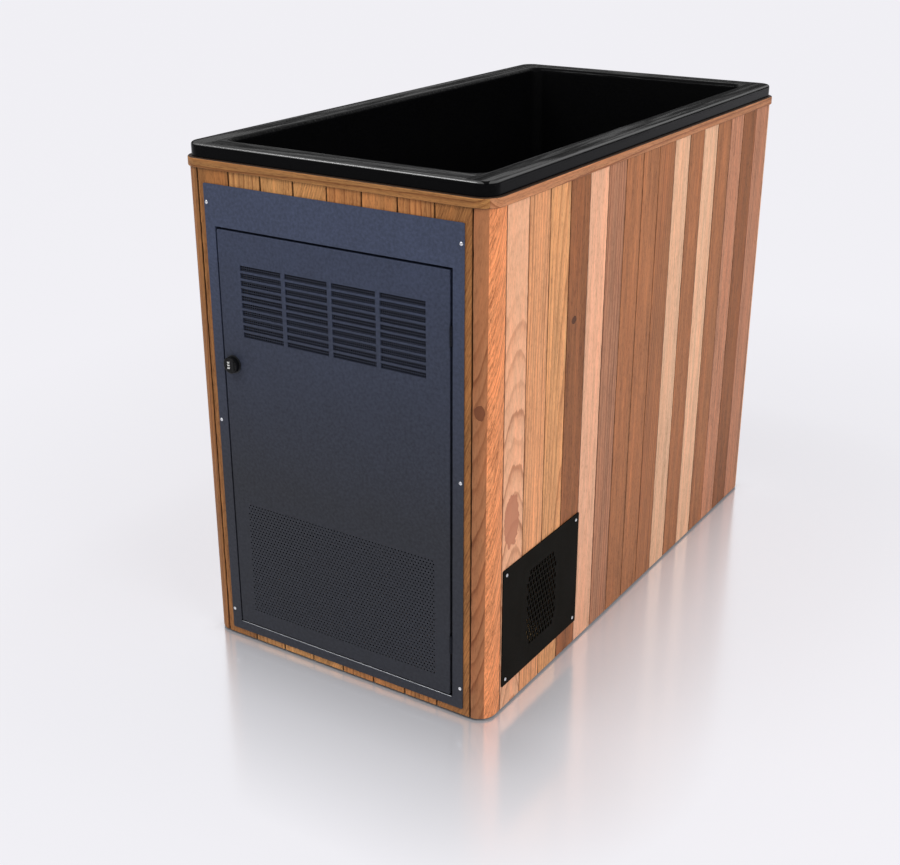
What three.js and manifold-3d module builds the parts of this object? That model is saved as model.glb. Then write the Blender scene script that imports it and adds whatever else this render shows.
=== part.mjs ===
// Cold plunge tub: cedar boards on a timber frame carry a moulded basin with a seat and a footwell.
// A steel door in the front opens on the pump, the filter and the pipes under the seat.
// Millimetres, +Z up. The door faces -Y and the vent plate faces +X.
// The origin is on the floor, under the middle of the outside.

import * as THREE from 'three';
import { mergeVertices } from 'three/addons/utils/BufferGeometryUtils.js';
import Module from 'manifold-3d';

const wasm = await Module();
wasm.setup();

// Clearances
const FIT = 0.3; // between pieces that touch
const RUNNING = 0.3; // round a turning shaft
const OVERCUT = 5; // how far a cutter runs past the face it leaves
const WELD = 0.5; // how far joined shapes run into each other

// Facets
const ROUND_SIDES = 16;
const SMALL_SIDES = 10;
const GRIP_SIDES = 6;
const HEX = 6;
const CORNER_STEPS = 5;
const FILLET_STEPS = 3;

// Cladding boards
const BOARD_COVER = 76;
const BOARD_THICK = 19;
const FRONT_BOARDS = 8;
const SIDE_BOARDS = 16;
const CORNER_RADIUS = 36;
const END_BOARD = 52; // side board next to the front corner
const GROOVE_WIDTH = 4;
const GROOVE_DEPTH = 2;
const BOARD_TOP = 1002;
const FLOOR_GAP = 5;

// Cap trim
const TRIM_THICK = 18;
const TRIM_WIDTH = 45;
const TRIM_OVERHANG = 4;
const TRIM_EDGE = 3;

// Basin
const RIM_INSET = 8; // from the trim's outer edge
const RIM_HEIGHT = 26;
const RIM_WIDTH = 56;
const RIM_WALL = 6;
const RIM_ROUND = 10;
const BASIN_WALL = 8;
const BASIN_DRAFT = THREE.MathUtils.degToRad(3);
const BASIN_CORNER = 26;
const BASIN_FILLET = 20;
const SEAT_HEIGHT = 560;
const SEAT_LENGTH = 402;
const SEAT_NOSE = 18; // rounding of the seat's front edge
const FOOTWELL_FLOOR = 130;

// Timber frame
const BEARER_WIDTH = 60;
const BEARER_HEIGHT = 40;
const BEARER_SPACING = 440;
const BEARER_END = 40; // short of the boards at each end
const DECK_THICK = 18;
const BASIN_CLEARANCE = 3; // between the frame and the basin
const RAIL_HEIGHT = 40;
const LEDGER_WIDTH = 95;
const LEDGER_HEIGHT = 40;
const LEDGER_END = 6; // short of the riser
const INSULATION_EDGE = 14; // short of the footwell's outside

// Service panel
const SHEET = 2;
const PANEL_SIDE = 51; // from the cabinet's side
const PANEL_TOP = 27; // below the boards' top
const PANEL_BOTTOM = 14; // above the boards' foot
const PANEL_CORNER = 3;
const STILE_WIDTH = 23;
const HEAD_HEIGHT = 80;
const SILL_HEIGHT = 20;
const FLANGE_DEPTH = 16;
const STOP_LIP = 12;

// Service door
const DOOR_GAP = 3;
const DOOR_TOP_GAP = 5;
const HINGE_GAP = 6;
const DOOR_DEPTH = 14;
const DOOR_CORNER = 3;
const LOUVRE_COLUMNS = 4;
const LOUVRE_ROWS = 10;
const LOUVRE_WIDTH = 98;
const LOUVRE_BRIDGE = 9.5;
const LOUVRE_HEIGHT = 10.3;
const LOUVRE_BAR = 4.4;
const LOUVRE_DROP = 68; // below the opening's top
const SCREEN_THICK = 1.2;
const SCREEN_LAP = 8;
const HOLE_PITCH = 34;
const HOLE_RADIUS = 3.2;
const HOLE_SIDES = 4;
const HOLES_SIDE = 35; // from the opening's side
const HOLES_BOTTOM = 37; // above the opening's foot
const HOLES_HEIGHT = 255;

// Hinges
const KNUCKLES = 3;
const BARREL_LENGTH = 36;
const LEAF_THICK = 1.2;
const LEAF_DEPTH = 13;
const PIN_RADIUS = 1.2;
const PIN_HEAD_RADIUS = 2.3;
const PIN_HEAD_HEIGHT = 1.5;
const UPPER_HINGE_DROP = 123; // below the opening's top
const LOWER_HINGE_RISE = 116; // above the opening's foot

// Combination lock
const LOCK_RADIUS = 18.5;
const LOCK_INSET = 22; // from the door's edge
const LOCK_DROP = 271; // below the opening's top
const LOCK_FLANGE = 2.5;
const SLEEVE_RADIUS = 9.2;
const NUT_RADIUS = 12.5;
const NUT_HEIGHT = 6;
const KNOB_RADIUS = 17;
const KNOB_HEIGHT = 8.5;
const KNOB_ROUND = 2;
const SPINDLE_RADIUS = 4;
const GRIP_WIDTH = 5;
const GRIP_LENGTH = 20;
const GRIP_PROUD = 1;
const GRIP_OFFSET = 8;
const DIAL_RADIUS = 4;
const DIAL_PITCH = 5.6;
const DIAL_OFFSET = 4.5;
const DIAL_PROUD = 1;
const DIAL_DIGITS = 10;
const AXLE_RADIUS = 1;
const CAM_THICK = 3;
const CAM_REACH = 22;
const CAM_RADIUS = 7.5;
const CAM_TIP_RADIUS = 5;
const CAM_CLEARANCE = 0.9; // behind the stop lip

// Side vent plate
const VENT_LENGTH = 302;
const VENT_HEIGHT = 254;
const VENT_FROM_FRONT = 55;
const VENT_FROM_FLOOR = 55;
const VENT_CORNER = 3;
const VENT_HALF_WIDTH = 57;
const VENT_STRAIGHT = 71;
const VENT_CAP = 23;
const SLOT_WIDTH = 6;
const SLOT_HEIGHT = 12;
const SLOT_PITCH_Y = 16;
const SLOT_PITCH_Z = 17;
const VENT_OPENING_LAP = 10;

// Pump
const EQUIPMENT_DEPTH = 222; // pump and filter line behind the front
const PUMP_AXIS_HEIGHT = 72;
const PUMP_SIDE_GAP = 50;
const MOTOR_LENGTH = 170;
const MOTOR_RADIUS = 58;
const MOTOR_FIN = 6;
const MOTOR_FINS = 14;
const FIN_CORNERS = 4; // two on the fin, two between fins
const MOTOR_CAP = 32;
const MOTOR_CAP_ROUND = 10;
const FOOT_LENGTH = 110;
const FOOT_WIDTH = 120;
const FOOT_THICK = 6;
const FOOT_WEB = 46;
const TERMINAL_LENGTH = 66;
const TERMINAL_WIDTH = 54;
const TERMINAL_RISE = 24;
const PUMP_DEPTH = 70;
const VOLUTE_RADIUS = 68;
const PUMP_PLATE = 14;
const PUMP_PLATE_RADIUS = 60;
const SPIGOT_RADIUS = 24;
const INLET_LENGTH = 25;
const OUTLET_RISE = 100;
const SHAFT_RADIUS = 6;
const SHAFT_DEPTH = 60;
const IMPELLER_RADIUS = 42;
const IMPELLER_DISC = 4;
const IMPELLER_BLADE = 14;
const IMPELLER_BLADES = 6;
const BLADE_THICK = 3;
const HUB_RADIUS = 12;
const IMPELLER_CLEARANCE = 3;

// Filter
const FILTER_SIDE = 151; // from the left boards' inside
const BRACKET_THICK = 5;
const BRACKET_WIDTH = 90;
const FILTER_HEAD_HEIGHT = 52;
const FILTER_HEAD_RADIUS = 70;
const HEAD_PORT_REACH = 82;
const BOWL_LENGTH = 262;
const BOWL_RADIUS = 62;
const BOWL_WALL = 4;
const BOWL_ROUND = 18;
const COLLAR_RADIUS = 72;
const COLLAR_HEIGHT = 28;
const COLLAR_GRIPS = 10;
const GRIP_RADIUS = 5;
const CARTRIDGE_RADIUS = 52;
const CARTRIDGE_CORE = 14;
const CARTRIDGE_CAP = 16;
const CARTRIDGE_NECK = 12;

// Pipes and fittings
const PIPE_RADIUS = 20;
const PIPE_BEND = 34;
const PIPE_STEPS = 12;
const FITTING_RADIUS = 38;
const FITTING_DOME = 7;
const FITTING_EDGE = 3;
const FITTING_TAIL = 40;
const FITTING_MARGIN = 4; // above the floor's rounding
const GRATE_BARS = 3;
const GRATE_PITCH = 14;
const GRATE_SLOT = 5;
const GRATE_DEPTH = 4;
const SUCTION_OFFSET = 60; // from the pump's inlet
const RETURN_OFFSET = 130; // left of the middle
const RETURN_HEIGHT = 300;
const RETURN_DEPTH = 112; // in front of the riser
const DRAIN_OFFSET = 125; // right of the middle
const VALVE_LENGTH = 88;
const VALVE_BALL = 26;
const VALVE_NOZZLE = 14;
const STEM_RADIUS = 7;
const STEM_RISE = 12;
const LEVER_LENGTH = 84;
const LEVER_WIDTH = 18;
const LEVER_TIP = 13;
const LEVER_THICK = 6;
const PORT_FLANGE = 3.2;
const PORT_FLANGE_RADIUS = 36;
const PORT_SLEEVE = 24;
const PORT_BORE = 17;
const PORT_SOCKET = 24; // depth of the threaded socket
const PORT_TAIL = 22; // inside the boards

// Control box
const BOX_DEPTH = 66;
const BOX_LENGTH = 160;
const BOX_HEIGHT = 120;
const BOX_CORNER = 8;
const BOX_LID = 5;
const BOX_FROM_FRONT = 95;
const BOX_DROP = 46; // below the seat ledger
const GLAND_RADIUS = 11;
const GLAND_NUT = 14;
const GLAND_LENGTH = 24;
const GLAND_BORE = 5;

// Sizes that follow
const cabinetWidth = FRONT_BOARDS * BOARD_COVER + 2 * CORNER_RADIUS;
const cabinetLength = END_BOARD + SIDE_BOARDS * BOARD_COVER + CORNER_RADIUS;
const sideX = cabinetWidth / 2;
const backY = cabinetLength / 2;
const frontY = -backY;
const innerX = sideX - BOARD_THICK - FIT;
const innerY = backY - BOARD_THICK - FIT;
const boardHeight = BOARD_TOP - FIT - FLOOR_GAP;
const trimTop = BOARD_TOP + TRIM_THICK;
const rimTop = trimTop + RIM_HEIGHT;
const rimX = sideX + TRIM_OVERHANG - RIM_INSET;
const rimY = backY + TRIM_OVERHANG - RIM_INSET;
const rimCorner = CORNER_RADIUS + TRIM_OVERHANG - RIM_INSET;
const openX = rimX - RIM_WIDTH;
const openY = rimY - RIM_WIDTH;
const riserY = -openY + SEAT_LENGTH;
const riserBack = riserY - BASIN_WALL;
const frameSection = innerX - openX - BASIN_WALL - BASIN_CLEARANCE;
const deckTop = BEARER_HEIGHT + FIT + DECK_THICK;
const railBottom = BOARD_TOP - FIT - RAIL_HEIGHT;
const ledgerTop = SEAT_HEIGHT - BASIN_WALL - FIT;
const ledgerBottom = ledgerTop - LEDGER_HEIGHT;
const panelX = sideX - PANEL_SIDE;
const panelTop = BOARD_TOP - PANEL_TOP;
const panelFoot = FLOOR_GAP + PANEL_BOTTOM;
const holeX = panelX - STILE_WIDTH;
const holeTop = panelTop - HEAD_HEIGHT;
const holeFoot = panelFoot + SILL_HEIGHT;
const sheetBack = frontY - FIT;
const sheetFront = sheetBack - SHEET;
const lipBack = sheetBack + FLANGE_DEPTH;
const doorLeft = -holeX + DOOR_GAP;
const doorRight = holeX - HINGE_GAP;
const doorFoot = holeFoot + DOOR_GAP;
const doorTop = holeTop - DOOR_TOP_GAP;
const hingeX = holeX - HINGE_GAP / 2;
const knuckleRadius = HINGE_GAP / 2 - FIT;
const lockX = doorLeft + LOCK_INSET;
const lockZ = holeTop - LOCK_DROP;
const flangeFront = sheetFront - FIT - LOCK_FLANGE;
const knobFront = flangeFront - FIT - KNOB_HEIGHT;
const camFront = lipBack + CAM_CLEARANCE;
const ventY = frontY + VENT_FROM_FRONT + VENT_LENGTH / 2;
const ventZ = VENT_FROM_FLOOR + VENT_HEIGHT / 2;
const equipmentY = frontY + EQUIPMENT_DEPTH;
const pumpZ = deckTop + FIT + PUMP_AXIS_HEIGHT;
const motorEnd = innerX - PUMP_SIDE_GAP;
const motorStart = motorEnd - MOTOR_LENGTH;
const pumpBack = motorStart - FIT;
const pumpFront = pumpBack - PUMP_DEPTH;
const inletEnd = pumpFront - INLET_LENGTH;
const outletX = pumpBack - PUMP_PLATE - (PUMP_DEPTH - PUMP_PLATE) / 2;
const filterX = -innerX + FILTER_SIDE;
const filterTop = ledgerBottom - FIT - BRACKET_THICK - FIT;
const filterFoot = filterTop - FILTER_HEAD_HEIGHT;
const filterPortZ = filterTop - FILTER_HEAD_HEIGHT / 2;
const bowlTop = filterFoot - FIT;
const bowlFoot = bowlTop - BOWL_LENGTH;
const suctionX = inletEnd - SUCTION_OFFSET;
const fittingEnd = riserBack - FITTING_TAIL;
const boxBase = ledgerBottom - BOX_DROP - BOX_HEIGHT;
const lowFittingZ = FOOTWELL_FLOOR + BASIN_FILLET + FITTING_RADIUS + FITTING_MARGIN;
const returnPortY = riserBack - RETURN_DEPTH;

// Finishes: colour, roughness, metalness
const CEDAR = [0xb98a5c, 0.65, 0];
const OAK = [0xbf8a52, 0.55, 0];
const TIMBER = [0xcdb083, 0.8, 0];
const PLY = [0xc2a273, 0.8, 0];
const MOULDED_BLACK = [0x17181a, 0.4, 0];
const SLATE_STEEL = [0x42475a, 0.5, 0.3];
const BLACK_STEEL = [0x1b1c1f, 0.5, 0.3];
const BRIGHT_STEEL = [0xb4b6ba, 0.3, 1];
const FOAM = [0xd8d3c4, 0.95, 0];
const PIPE_WHITE = [0xe3e4e2, 0.45, 0];
const PUMP_GREY = [0x4a4e54, 0.5, 0.2];
const FILTER_BLUE = [0x2d4f7c, 0.35, 0];
const CARTRIDGE_WHITE = [0xf0efe9, 0.9, 0];
const LEVER_RED = [0xa32a22, 0.5, 0];
const BOX_GREY = [0xc9cbcc, 0.55, 0];

// Solids and joined shapes

/** Swaps two corners of each triangle where the faces point inwards. */
function facingOut(geometry) {
  const position = geometry.attributes.position;
  const index = geometry.index.array;
  const a = new THREE.Vector3();
  const b = new THREE.Vector3();
  const c = new THREE.Vector3();
  let volume = 0;
  for (let i = 0; i < index.length; i += 3) {
    a.fromBufferAttribute(position, index[i]);
    b.fromBufferAttribute(position, index[i + 1]);
    c.fromBufferAttribute(position, index[i + 2]);
    volume += a.dot(b.cross(c));
  }
  if (volume < 0) {
    for (let i = 0; i < index.length; i += 3) {
      [index[i + 1], index[i + 2]] = [index[i + 2], index[i + 1]];
    }
  }
  return geometry;
}

/** Welds a geometry's corners and drops the triangles that close up to a line. */
function welded(geometry) {
  const bare = geometry.clone();
  bare.deleteAttribute('normal');
  bare.deleteAttribute('uv');
  const merged = mergeVertices(bare);
  const corners = merged.index.array;
  const kept = [];
  for (let i = 0; i < corners.length; i += 3) {
    const [a, b, c] = corners.slice(i, i + 3);
    if (a !== b && b !== c && c !== a) kept.push(a, b, c);
  }
  merged.setIndex(kept);
  return facingOut(merged);
}

function toSolid(geometry) {
  const shape = welded(geometry);
  return new wasm.Manifold(
    new wasm.Mesh({
      numProp: 3,
      vertProperties: new Float32Array(shape.attributes.position.array),
      triVerts: new Uint32Array(shape.index.array),
    }),
  );
}

function toGeometry(solid) {
  const mesh = solid.getMesh();
  const geometry = new THREE.BufferGeometry();
  geometry.setAttribute('position', new THREE.BufferAttribute(mesh.vertProperties, 3));
  geometry.setIndex(new THREE.BufferAttribute(mesh.triVerts, 1));
  geometry.computeVertexNormals();
  return geometry;
}

function joined(...geometries) {
  return toGeometry(wasm.Manifold.union(geometries.map(toSolid)));
}

function cut(base, ...cutters) {
  return toGeometry(wasm.Manifold.difference([base, ...cutters].map(toSolid)));
}

function common(first, second) {
  return toGeometry(toSolid(first).intersect(toSolid(second)));
}

// Shapes

/** A box between two corners. */
function block(x0, x1, y0, y1, z0, z1) {
  const box = new THREE.BoxGeometry(x1 - x0, y1 - y0, z1 - z0);
  return box.translate((x0 + x1) / 2, (y0 + y1) / 2, (z0 + z1) / 2);
}

/** A rectangle with rounded corners. */
function roundedRectangle(x0, x1, y0, y1, radius) {
  const shape = new THREE.Shape();
  shape.absarc(x1 - radius, y0 + radius, radius, -Math.PI / 2, 0);
  shape.absarc(x1 - radius, y1 - radius, radius, 0, Math.PI / 2);
  shape.absarc(x0 + radius, y1 - radius, radius, Math.PI / 2, Math.PI);
  shape.absarc(x0 + radius, y0 + radius, radius, Math.PI, 1.5 * Math.PI);
  return shape;
}

/** The corners of a rectangle. */
function rectangleCorners(x0, x1, y0, y1) {
  return [[x0, y0], [x1, y0], [x1, y1], [x0, y1]].map(([x, y]) => new THREE.Vector2(x, y));
}

/** A rectangular hole to cut from a shape. */
function rectangularHole(x0, x1, y0, y1) {
  return new THREE.Path(rectangleCorners(x0, x1, y0, y1));
}

/** The corners of a regular outline round a centre. */
function roundCorners(x, y, radius, sides) {
  return Array.from({ length: sides }, (_, i) => {
    const angle = (2 * Math.PI * i) / sides;
    return new THREE.Vector2(x + radius * Math.cos(angle), y + radius * Math.sin(angle));
  });
}

/** A round hole of a few sides to cut from a shape. */
function roundHole(x, y, radius, sides) {
  return new THREE.Path(roundCorners(x, y, radius, sides));
}

function extruded(shape, depth) {
  return new THREE.ExtrudeGeometry(shape, { depth, bevelEnabled: false, curveSegments: FILLET_STEPS });
}

/** A plate whose outline is drawn in X and Z, from yBack towards the front. */
function frontPlate(shape, yBack, thickness) {
  return extruded(shape, thickness).rotateX(Math.PI / 2).translate(0, yBack, 0);
}

/** A plate whose outline is drawn in Y and Z, from xStart towards +X. */
function sidePlate(shape, xStart, thickness) {
  return extruded(shape, thickness).rotateX(Math.PI / 2).rotateZ(Math.PI / 2).translate(xStart, 0, 0);
}

/** A body turned about Z from [radius, height] corners that start and end on the axis. */
function turned(profile, sides = ROUND_SIDES) {
  const corners = profile.map(([radius, height]) => new THREE.Vector2(radius, height));
  return welded(new THREE.LatheGeometry(corners, sides)).rotateX(Math.PI / 2);
}

/** The same, about X: heights run along +X. */
function turnedX(profile, sides = ROUND_SIDES) {
  return turned(profile, sides).rotateY(Math.PI / 2);
}

/** The same, about Y: heights run along +Y. */
function turnedY(profile, sides = ROUND_SIDES) {
  return turned(profile, sides).rotateX(-Math.PI / 2);
}

function rod(radius, length, sides = ROUND_SIDES) {
  return turned([[0, 0], [radius, 0], [radius, length], [0, length]], sides);
}

function rodX(radius, length, sides = ROUND_SIDES) {
  return rod(radius, length, sides).rotateY(Math.PI / 2);
}

function rodY(radius, length, sides = ROUND_SIDES) {
  return rod(radius, length, sides).rotateX(-Math.PI / 2);
}

/** The corners of a rounded rectangle at one height, counter-clockwise from above. */
function ring(halfX, halfY, radius, z, centreY = 0) {
  const corners = [[1, -1], [1, 1], [-1, 1], [-1, -1]];
  const points = [];
  corners.forEach(([signX, signY], quarter) => {
    const start = (quarter - 1) * (Math.PI / 2);
    for (let i = 0; i <= CORNER_STEPS; i += 1) {
      const angle = start + ((Math.PI / 2) * i) / CORNER_STEPS;
      const x = signX * (halfX - radius) + radius * Math.cos(angle);
      const y = centreY + signY * (halfY - radius) + radius * Math.sin(angle);
      points.push(new THREE.Vector3(x, y, z));
    }
  });
  return points;
}

/** A body through rings of equal count; a closed one joins its last ring to its first. */
function loft(rings, closed = false) {
  const count = rings[0].length;
  const index = [];
  const spans = closed ? rings.length : rings.length - 1;
  for (let r = 0; r < spans; r += 1) {
    const low = r * count;
    const high = ((r + 1) % rings.length) * count;
    for (let i = 0; i < count; i += 1) {
      const next = (i + 1) % count;
      index.push(low + i, low + next, high + next, low + i, high + next, high + i);
    }
  }
  if (!closed) {
    const last = (rings.length - 1) * count;
    for (let i = 1; i < count - 1; i += 1) {
      index.push(0, i + 1, i);
      index.push(last, last + i, last + i + 1);
    }
  }
  const geometry = new THREE.BufferGeometry().setFromPoints(rings.flat());
  geometry.setIndex(index);
  return facingOut(geometry);
}

/** A pipe through straight runs that are joined by bends. */
function pipe(points, radius = PIPE_RADIUS) {
  const path = new THREE.CurvePath();
  let start = points[0];
  for (let i = 1; i < points.length - 1; i += 1) {
    const corner = points[i];
    const before = corner.clone().sub(points[i - 1]).setLength(PIPE_BEND);
    const after = points[i + 1].clone().sub(corner).setLength(PIPE_BEND);
    const bendStart = corner.clone().sub(before);
    const bendEnd = corner.clone().add(after);
    path.add(new THREE.LineCurve3(start, bendStart));
    path.add(new THREE.QuadraticBezierCurve3(bendStart, corner, bendEnd));
    start = bendEnd;
  }
  path.add(new THREE.LineCurve3(start, points[points.length - 1]));
  const section = new THREE.Shape(roundCorners(0, 0, radius, SMALL_SIDES));
  const tube = new THREE.ExtrudeGeometry(section, { steps: PIPE_STEPS, extrudePath: path });
  return welded(tube);
}

function point(x, y, z) {
  return new THREE.Vector3(x, y, z);
}

// Named pieces

const tub = new THREE.Group();
tub.name = 'cold_plunge_tub';

function group(name) {
  const made = new THREE.Group();
  made.name = name;
  tub.add(made);
  return made;
}

function piece(parent, name, geometry, [color, roughness, metalness]) {
  const material = new THREE.MeshStandardMaterial({ color, roughness, metalness });
  const mesh = new THREE.Mesh(geometry, material);
  mesh.name = name;
  parent.add(mesh);
  return mesh;
}

// Timber frame

function buildFrame() {
  const frame = group('frame');
  const bearerY = backY - BEARER_END;
  for (const [side, sign] of [['left', -1], ['right', 1]]) {
    const middle = (sign * BEARER_SPACING) / 2;
    const bearer = block(
      middle - BEARER_WIDTH / 2, middle + BEARER_WIDTH / 2, -bearerY, bearerY, 0, BEARER_HEIGHT,
    );
    piece(frame, `base_bearer_${side}`, bearer, TIMBER);
  }
  const deck = block(-innerX, innerX, -innerY, innerY, BEARER_HEIGHT + FIT, deckTop);
  piece(frame, 'base_deck', deck, PLY);

  const postMiddleX = innerX - frameSection / 2;
  const postMiddleY = innerY - frameSection / 2;
  const postLength = railBottom - FIT - deckTop - FIT;
  for (const [end, signY] of [['front', -1], ['rear', 1]]) {
    for (const [side, signX] of [['left', -1], ['right', 1]]) {
      const timber = new THREE.BoxGeometry(frameSection, frameSection, postLength);
      const post = piece(frame, `post_${end}_${side}`, timber, TIMBER);
      post.position.set(signX * postMiddleX, signY * postMiddleY, deckTop + FIT + postLength / 2);
    }
  }

  const railZ = railBottom + RAIL_HEIGHT / 2;
  for (const [side, sign] of [['left', -1], ['right', 1]]) {
    const timber = new THREE.BoxGeometry(frameSection, 2 * innerY, RAIL_HEIGHT);
    const rail = piece(frame, `top_rail_${side}`, timber, TIMBER);
    rail.position.set(sign * postMiddleX, 0, railZ);
  }
  const crossLength = 2 * (innerX - frameSection - FIT);
  for (const [end, sign] of [['front', -1], ['rear', 1]]) {
    const timber = new THREE.BoxGeometry(crossLength, frameSection, RAIL_HEIGHT);
    const rail = piece(frame, `top_rail_${end}`, timber, TIMBER);
    rail.position.set(0, sign * postMiddleY, railZ);
  }

  const ledgerStart = -innerY + frameSection + FIT;
  const ledgerLength = riserBack - LEDGER_END - ledgerStart;
  for (const [side, sign] of [['left', -1], ['right', 1]]) {
    const timber = new THREE.BoxGeometry(LEDGER_WIDTH, ledgerLength, LEDGER_HEIGHT);
    const ledger = piece(frame, `seat_ledger_${side}`, timber, TIMBER);
    ledger.position.set(
      sign * (innerX - LEDGER_WIDTH / 2), ledgerStart + ledgerLength / 2, ledgerBottom + LEDGER_HEIGHT / 2,
    );
  }
}

// Cladding walls: boards side by side with V-grooves, mitred on the rounded corners

/** One wall lying along X with its outside at y = 0, facing +Y. */
function boardWall(halfSpan, joints) {
  const arcCentre = halfSpan - CORNER_RADIUS;
  const grooveAngle = Math.asin(GROOVE_WIDTH / 2 / CORNER_RADIUS);
  const kerf = FIT / Math.SQRT2;
  const mitre = CORNER_RADIUS * Math.SQRT1_2;
  const mitreX = arcCentre + mitre - kerf;
  const mitreY = mitre - CORNER_RADIUS;
  const outline = new THREE.Shape();
  outline.moveTo(-halfSpan + BOARD_THICK + kerf, -BOARD_THICK);
  outline.lineTo(-mitreX, mitreY);
  outline.absarc(
    -arcCentre, -CORNER_RADIUS, CORNER_RADIUS,
    0.75 * Math.PI - grooveAngle, Math.PI / 2 + grooveAngle, true,
  );
  for (const joint of joints) {
    if (joint - GROOVE_WIDTH / 2 > -arcCentre) outline.lineTo(joint - GROOVE_WIDTH / 2, 0);
    outline.lineTo(joint, -GROOVE_DEPTH);
    if (joint + GROOVE_WIDTH / 2 < arcCentre) outline.lineTo(joint + GROOVE_WIDTH / 2, 0);
  }
  outline.absarc(
    arcCentre, -CORNER_RADIUS, CORNER_RADIUS,
    Math.PI / 2 - grooveAngle, Math.PI / 4 + grooveAngle, true,
  );
  outline.lineTo(mitreX, mitreY);
  outline.lineTo(halfSpan - BOARD_THICK - kerf, -BOARD_THICK);
  return extruded(outline, boardHeight).translate(0, 0, FLOOR_GAP);
}

function buildCladding() {
  const cladding = group('cladding');
  const endJoints = [];
  for (let i = 0; i <= FRONT_BOARDS; i += 1) endJoints.push(-sideX + CORNER_RADIUS + i * BOARD_COVER);
  const leftJoints = [];
  for (let i = 0; i <= SIDE_BOARDS; i += 1) leftJoints.push(-backY + END_BOARD + i * BOARD_COVER);
  const rightJoints = leftJoints.map((joint) => -joint).reverse();

  const edge = SHEET + FIT;
  const doorway = block(
    -holeX - edge, holeX + edge, -BOARD_THICK - OVERCUT, OVERCUT, holeFoot - edge, holeTop + edge,
  );
  const front = piece(cladding, 'cladding_front', cut(boardWall(sideX, endJoints), doorway), CEDAR);
  front.rotation.z = Math.PI;
  front.position.y = frontY;

  const rear = piece(cladding, 'cladding_rear', boardWall(sideX, endJoints), CEDAR);
  rear.position.y = backY;

  const ventHalf = VENT_HALF_WIDTH + VENT_OPENING_LAP;
  const ventRise = VENT_STRAIGHT + VENT_CAP + VENT_OPENING_LAP;
  const airway = block(
    -ventY - ventHalf, -ventY + ventHalf, -BOARD_THICK - OVERCUT, OVERCUT,
    ventZ - ventRise, ventZ + ventRise,
  );
  const right = piece(cladding, 'cladding_right', cut(boardWall(backY, rightJoints), airway), CEDAR);
  right.rotation.z = -Math.PI / 2;
  right.position.x = sideX;

  const passages = [[equipmentY, filterPortZ], [returnPortY, RETURN_HEIGHT]].map(([y, z]) => {
    const passage = rodY(PORT_SLEEVE + FIT, BOARD_THICK + 2 * OVERCUT);
    return passage.translate(y, -BOARD_THICK - OVERCUT, z);
  });
  const left = piece(cladding, 'cladding_left', cut(boardWall(backY, leftJoints), ...passages), CEDAR);
  left.rotation.z = Math.PI / 2;
  left.position.x = -sideX;
}

// Cap trim: one moulding round the top, mitred at the corners

function buildTrim() {
  const trim = group('trim');
  const inside = TRIM_OVERHANG - TRIM_WIDTH;
  const profile = [
    [TRIM_OVERHANG - TRIM_EDGE / 2, BOARD_TOP],
    [TRIM_OVERHANG, BOARD_TOP + TRIM_EDGE / 2],
    [TRIM_OVERHANG, trimTop - TRIM_EDGE],
    [TRIM_OVERHANG - TRIM_EDGE, trimTop],
    [inside, trimTop],
    [inside, BOARD_TOP],
  ];
  const rings = profile.map(([out, z]) => {
    const radius = Math.max(CORNER_RADIUS + out, TRIM_EDGE);
    return ring(sideX + out, backY + out, radius, z);
  });
  const moulding = loft(rings, true);
  const kerf = FIT / Math.SQRT2;
  const reach = TRIM_WIDTH + OVERCUT;
  const wedge = (halfSpan, distance) => {
    const shape = new THREE.Shape();
    shape.moveTo(-halfSpan + reach + kerf, distance - reach);
    shape.lineTo(-halfSpan - OVERCUT + kerf, distance + OVERCUT);
    shape.lineTo(halfSpan + OVERCUT - kerf, distance + OVERCUT);
    shape.lineTo(halfSpan - reach - kerf, distance - reach);
    return extruded(shape, TRIM_THICK + 2 * OVERCUT).translate(0, 0, BOARD_TOP - OVERCUT);
  };
  piece(trim, 'trim_rear', common(moulding, wedge(sideX, backY)), OAK);
  piece(trim, 'trim_front', common(moulding, wedge(sideX, backY).rotateZ(Math.PI)), OAK);
  piece(trim, 'trim_left', common(moulding, wedge(backY, sideX).rotateZ(Math.PI / 2)), OAK);
  piece(trim, 'trim_right', common(moulding, wedge(backY, sideX).rotateZ(-Math.PI / 2)), OAK);
}

// Basin: a drafted shell with a seat over the equipment and a footwell behind it

/** How far the wall leans in at one height. */
function draftAt(z) {
  return (rimTop - z) * Math.tan(BASIN_DRAFT);
}

/** A ring of the upper shell, moved out from the inside face. */
function upperRing(z, out) {
  const lean = draftAt(z);
  return ring(openX - lean + out, openY - lean + out, Math.max(BASIN_CORNER + out, RIM_ROUND), z);
}

/** A ring of the footwell; its front is the riser, moved forward by nose. */
function footwellRing(z, out, nose = 0) {
  const lean = draftAt(z);
  const near = riserY - out - nose;
  const far = openY - lean + out;
  const radius = Math.max(BASIN_CORNER + out, RIM_ROUND);
  return ring(openX - lean + out, (far - near) / 2, radius, z, (far + near) / 2);
}

/** Steps of a quarter round that starts flat: [how far in, how far up]. */
function quarterRound(radius) {
  const steps = [];
  for (let i = 0; i <= FILLET_STEPS; i += 1) {
    const angle = ((Math.PI / 2) * i) / FILLET_STEPS;
    steps.push([radius * (1 - Math.sin(angle)), radius * (1 - Math.cos(angle))]);
  }
  return steps;
}

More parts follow.
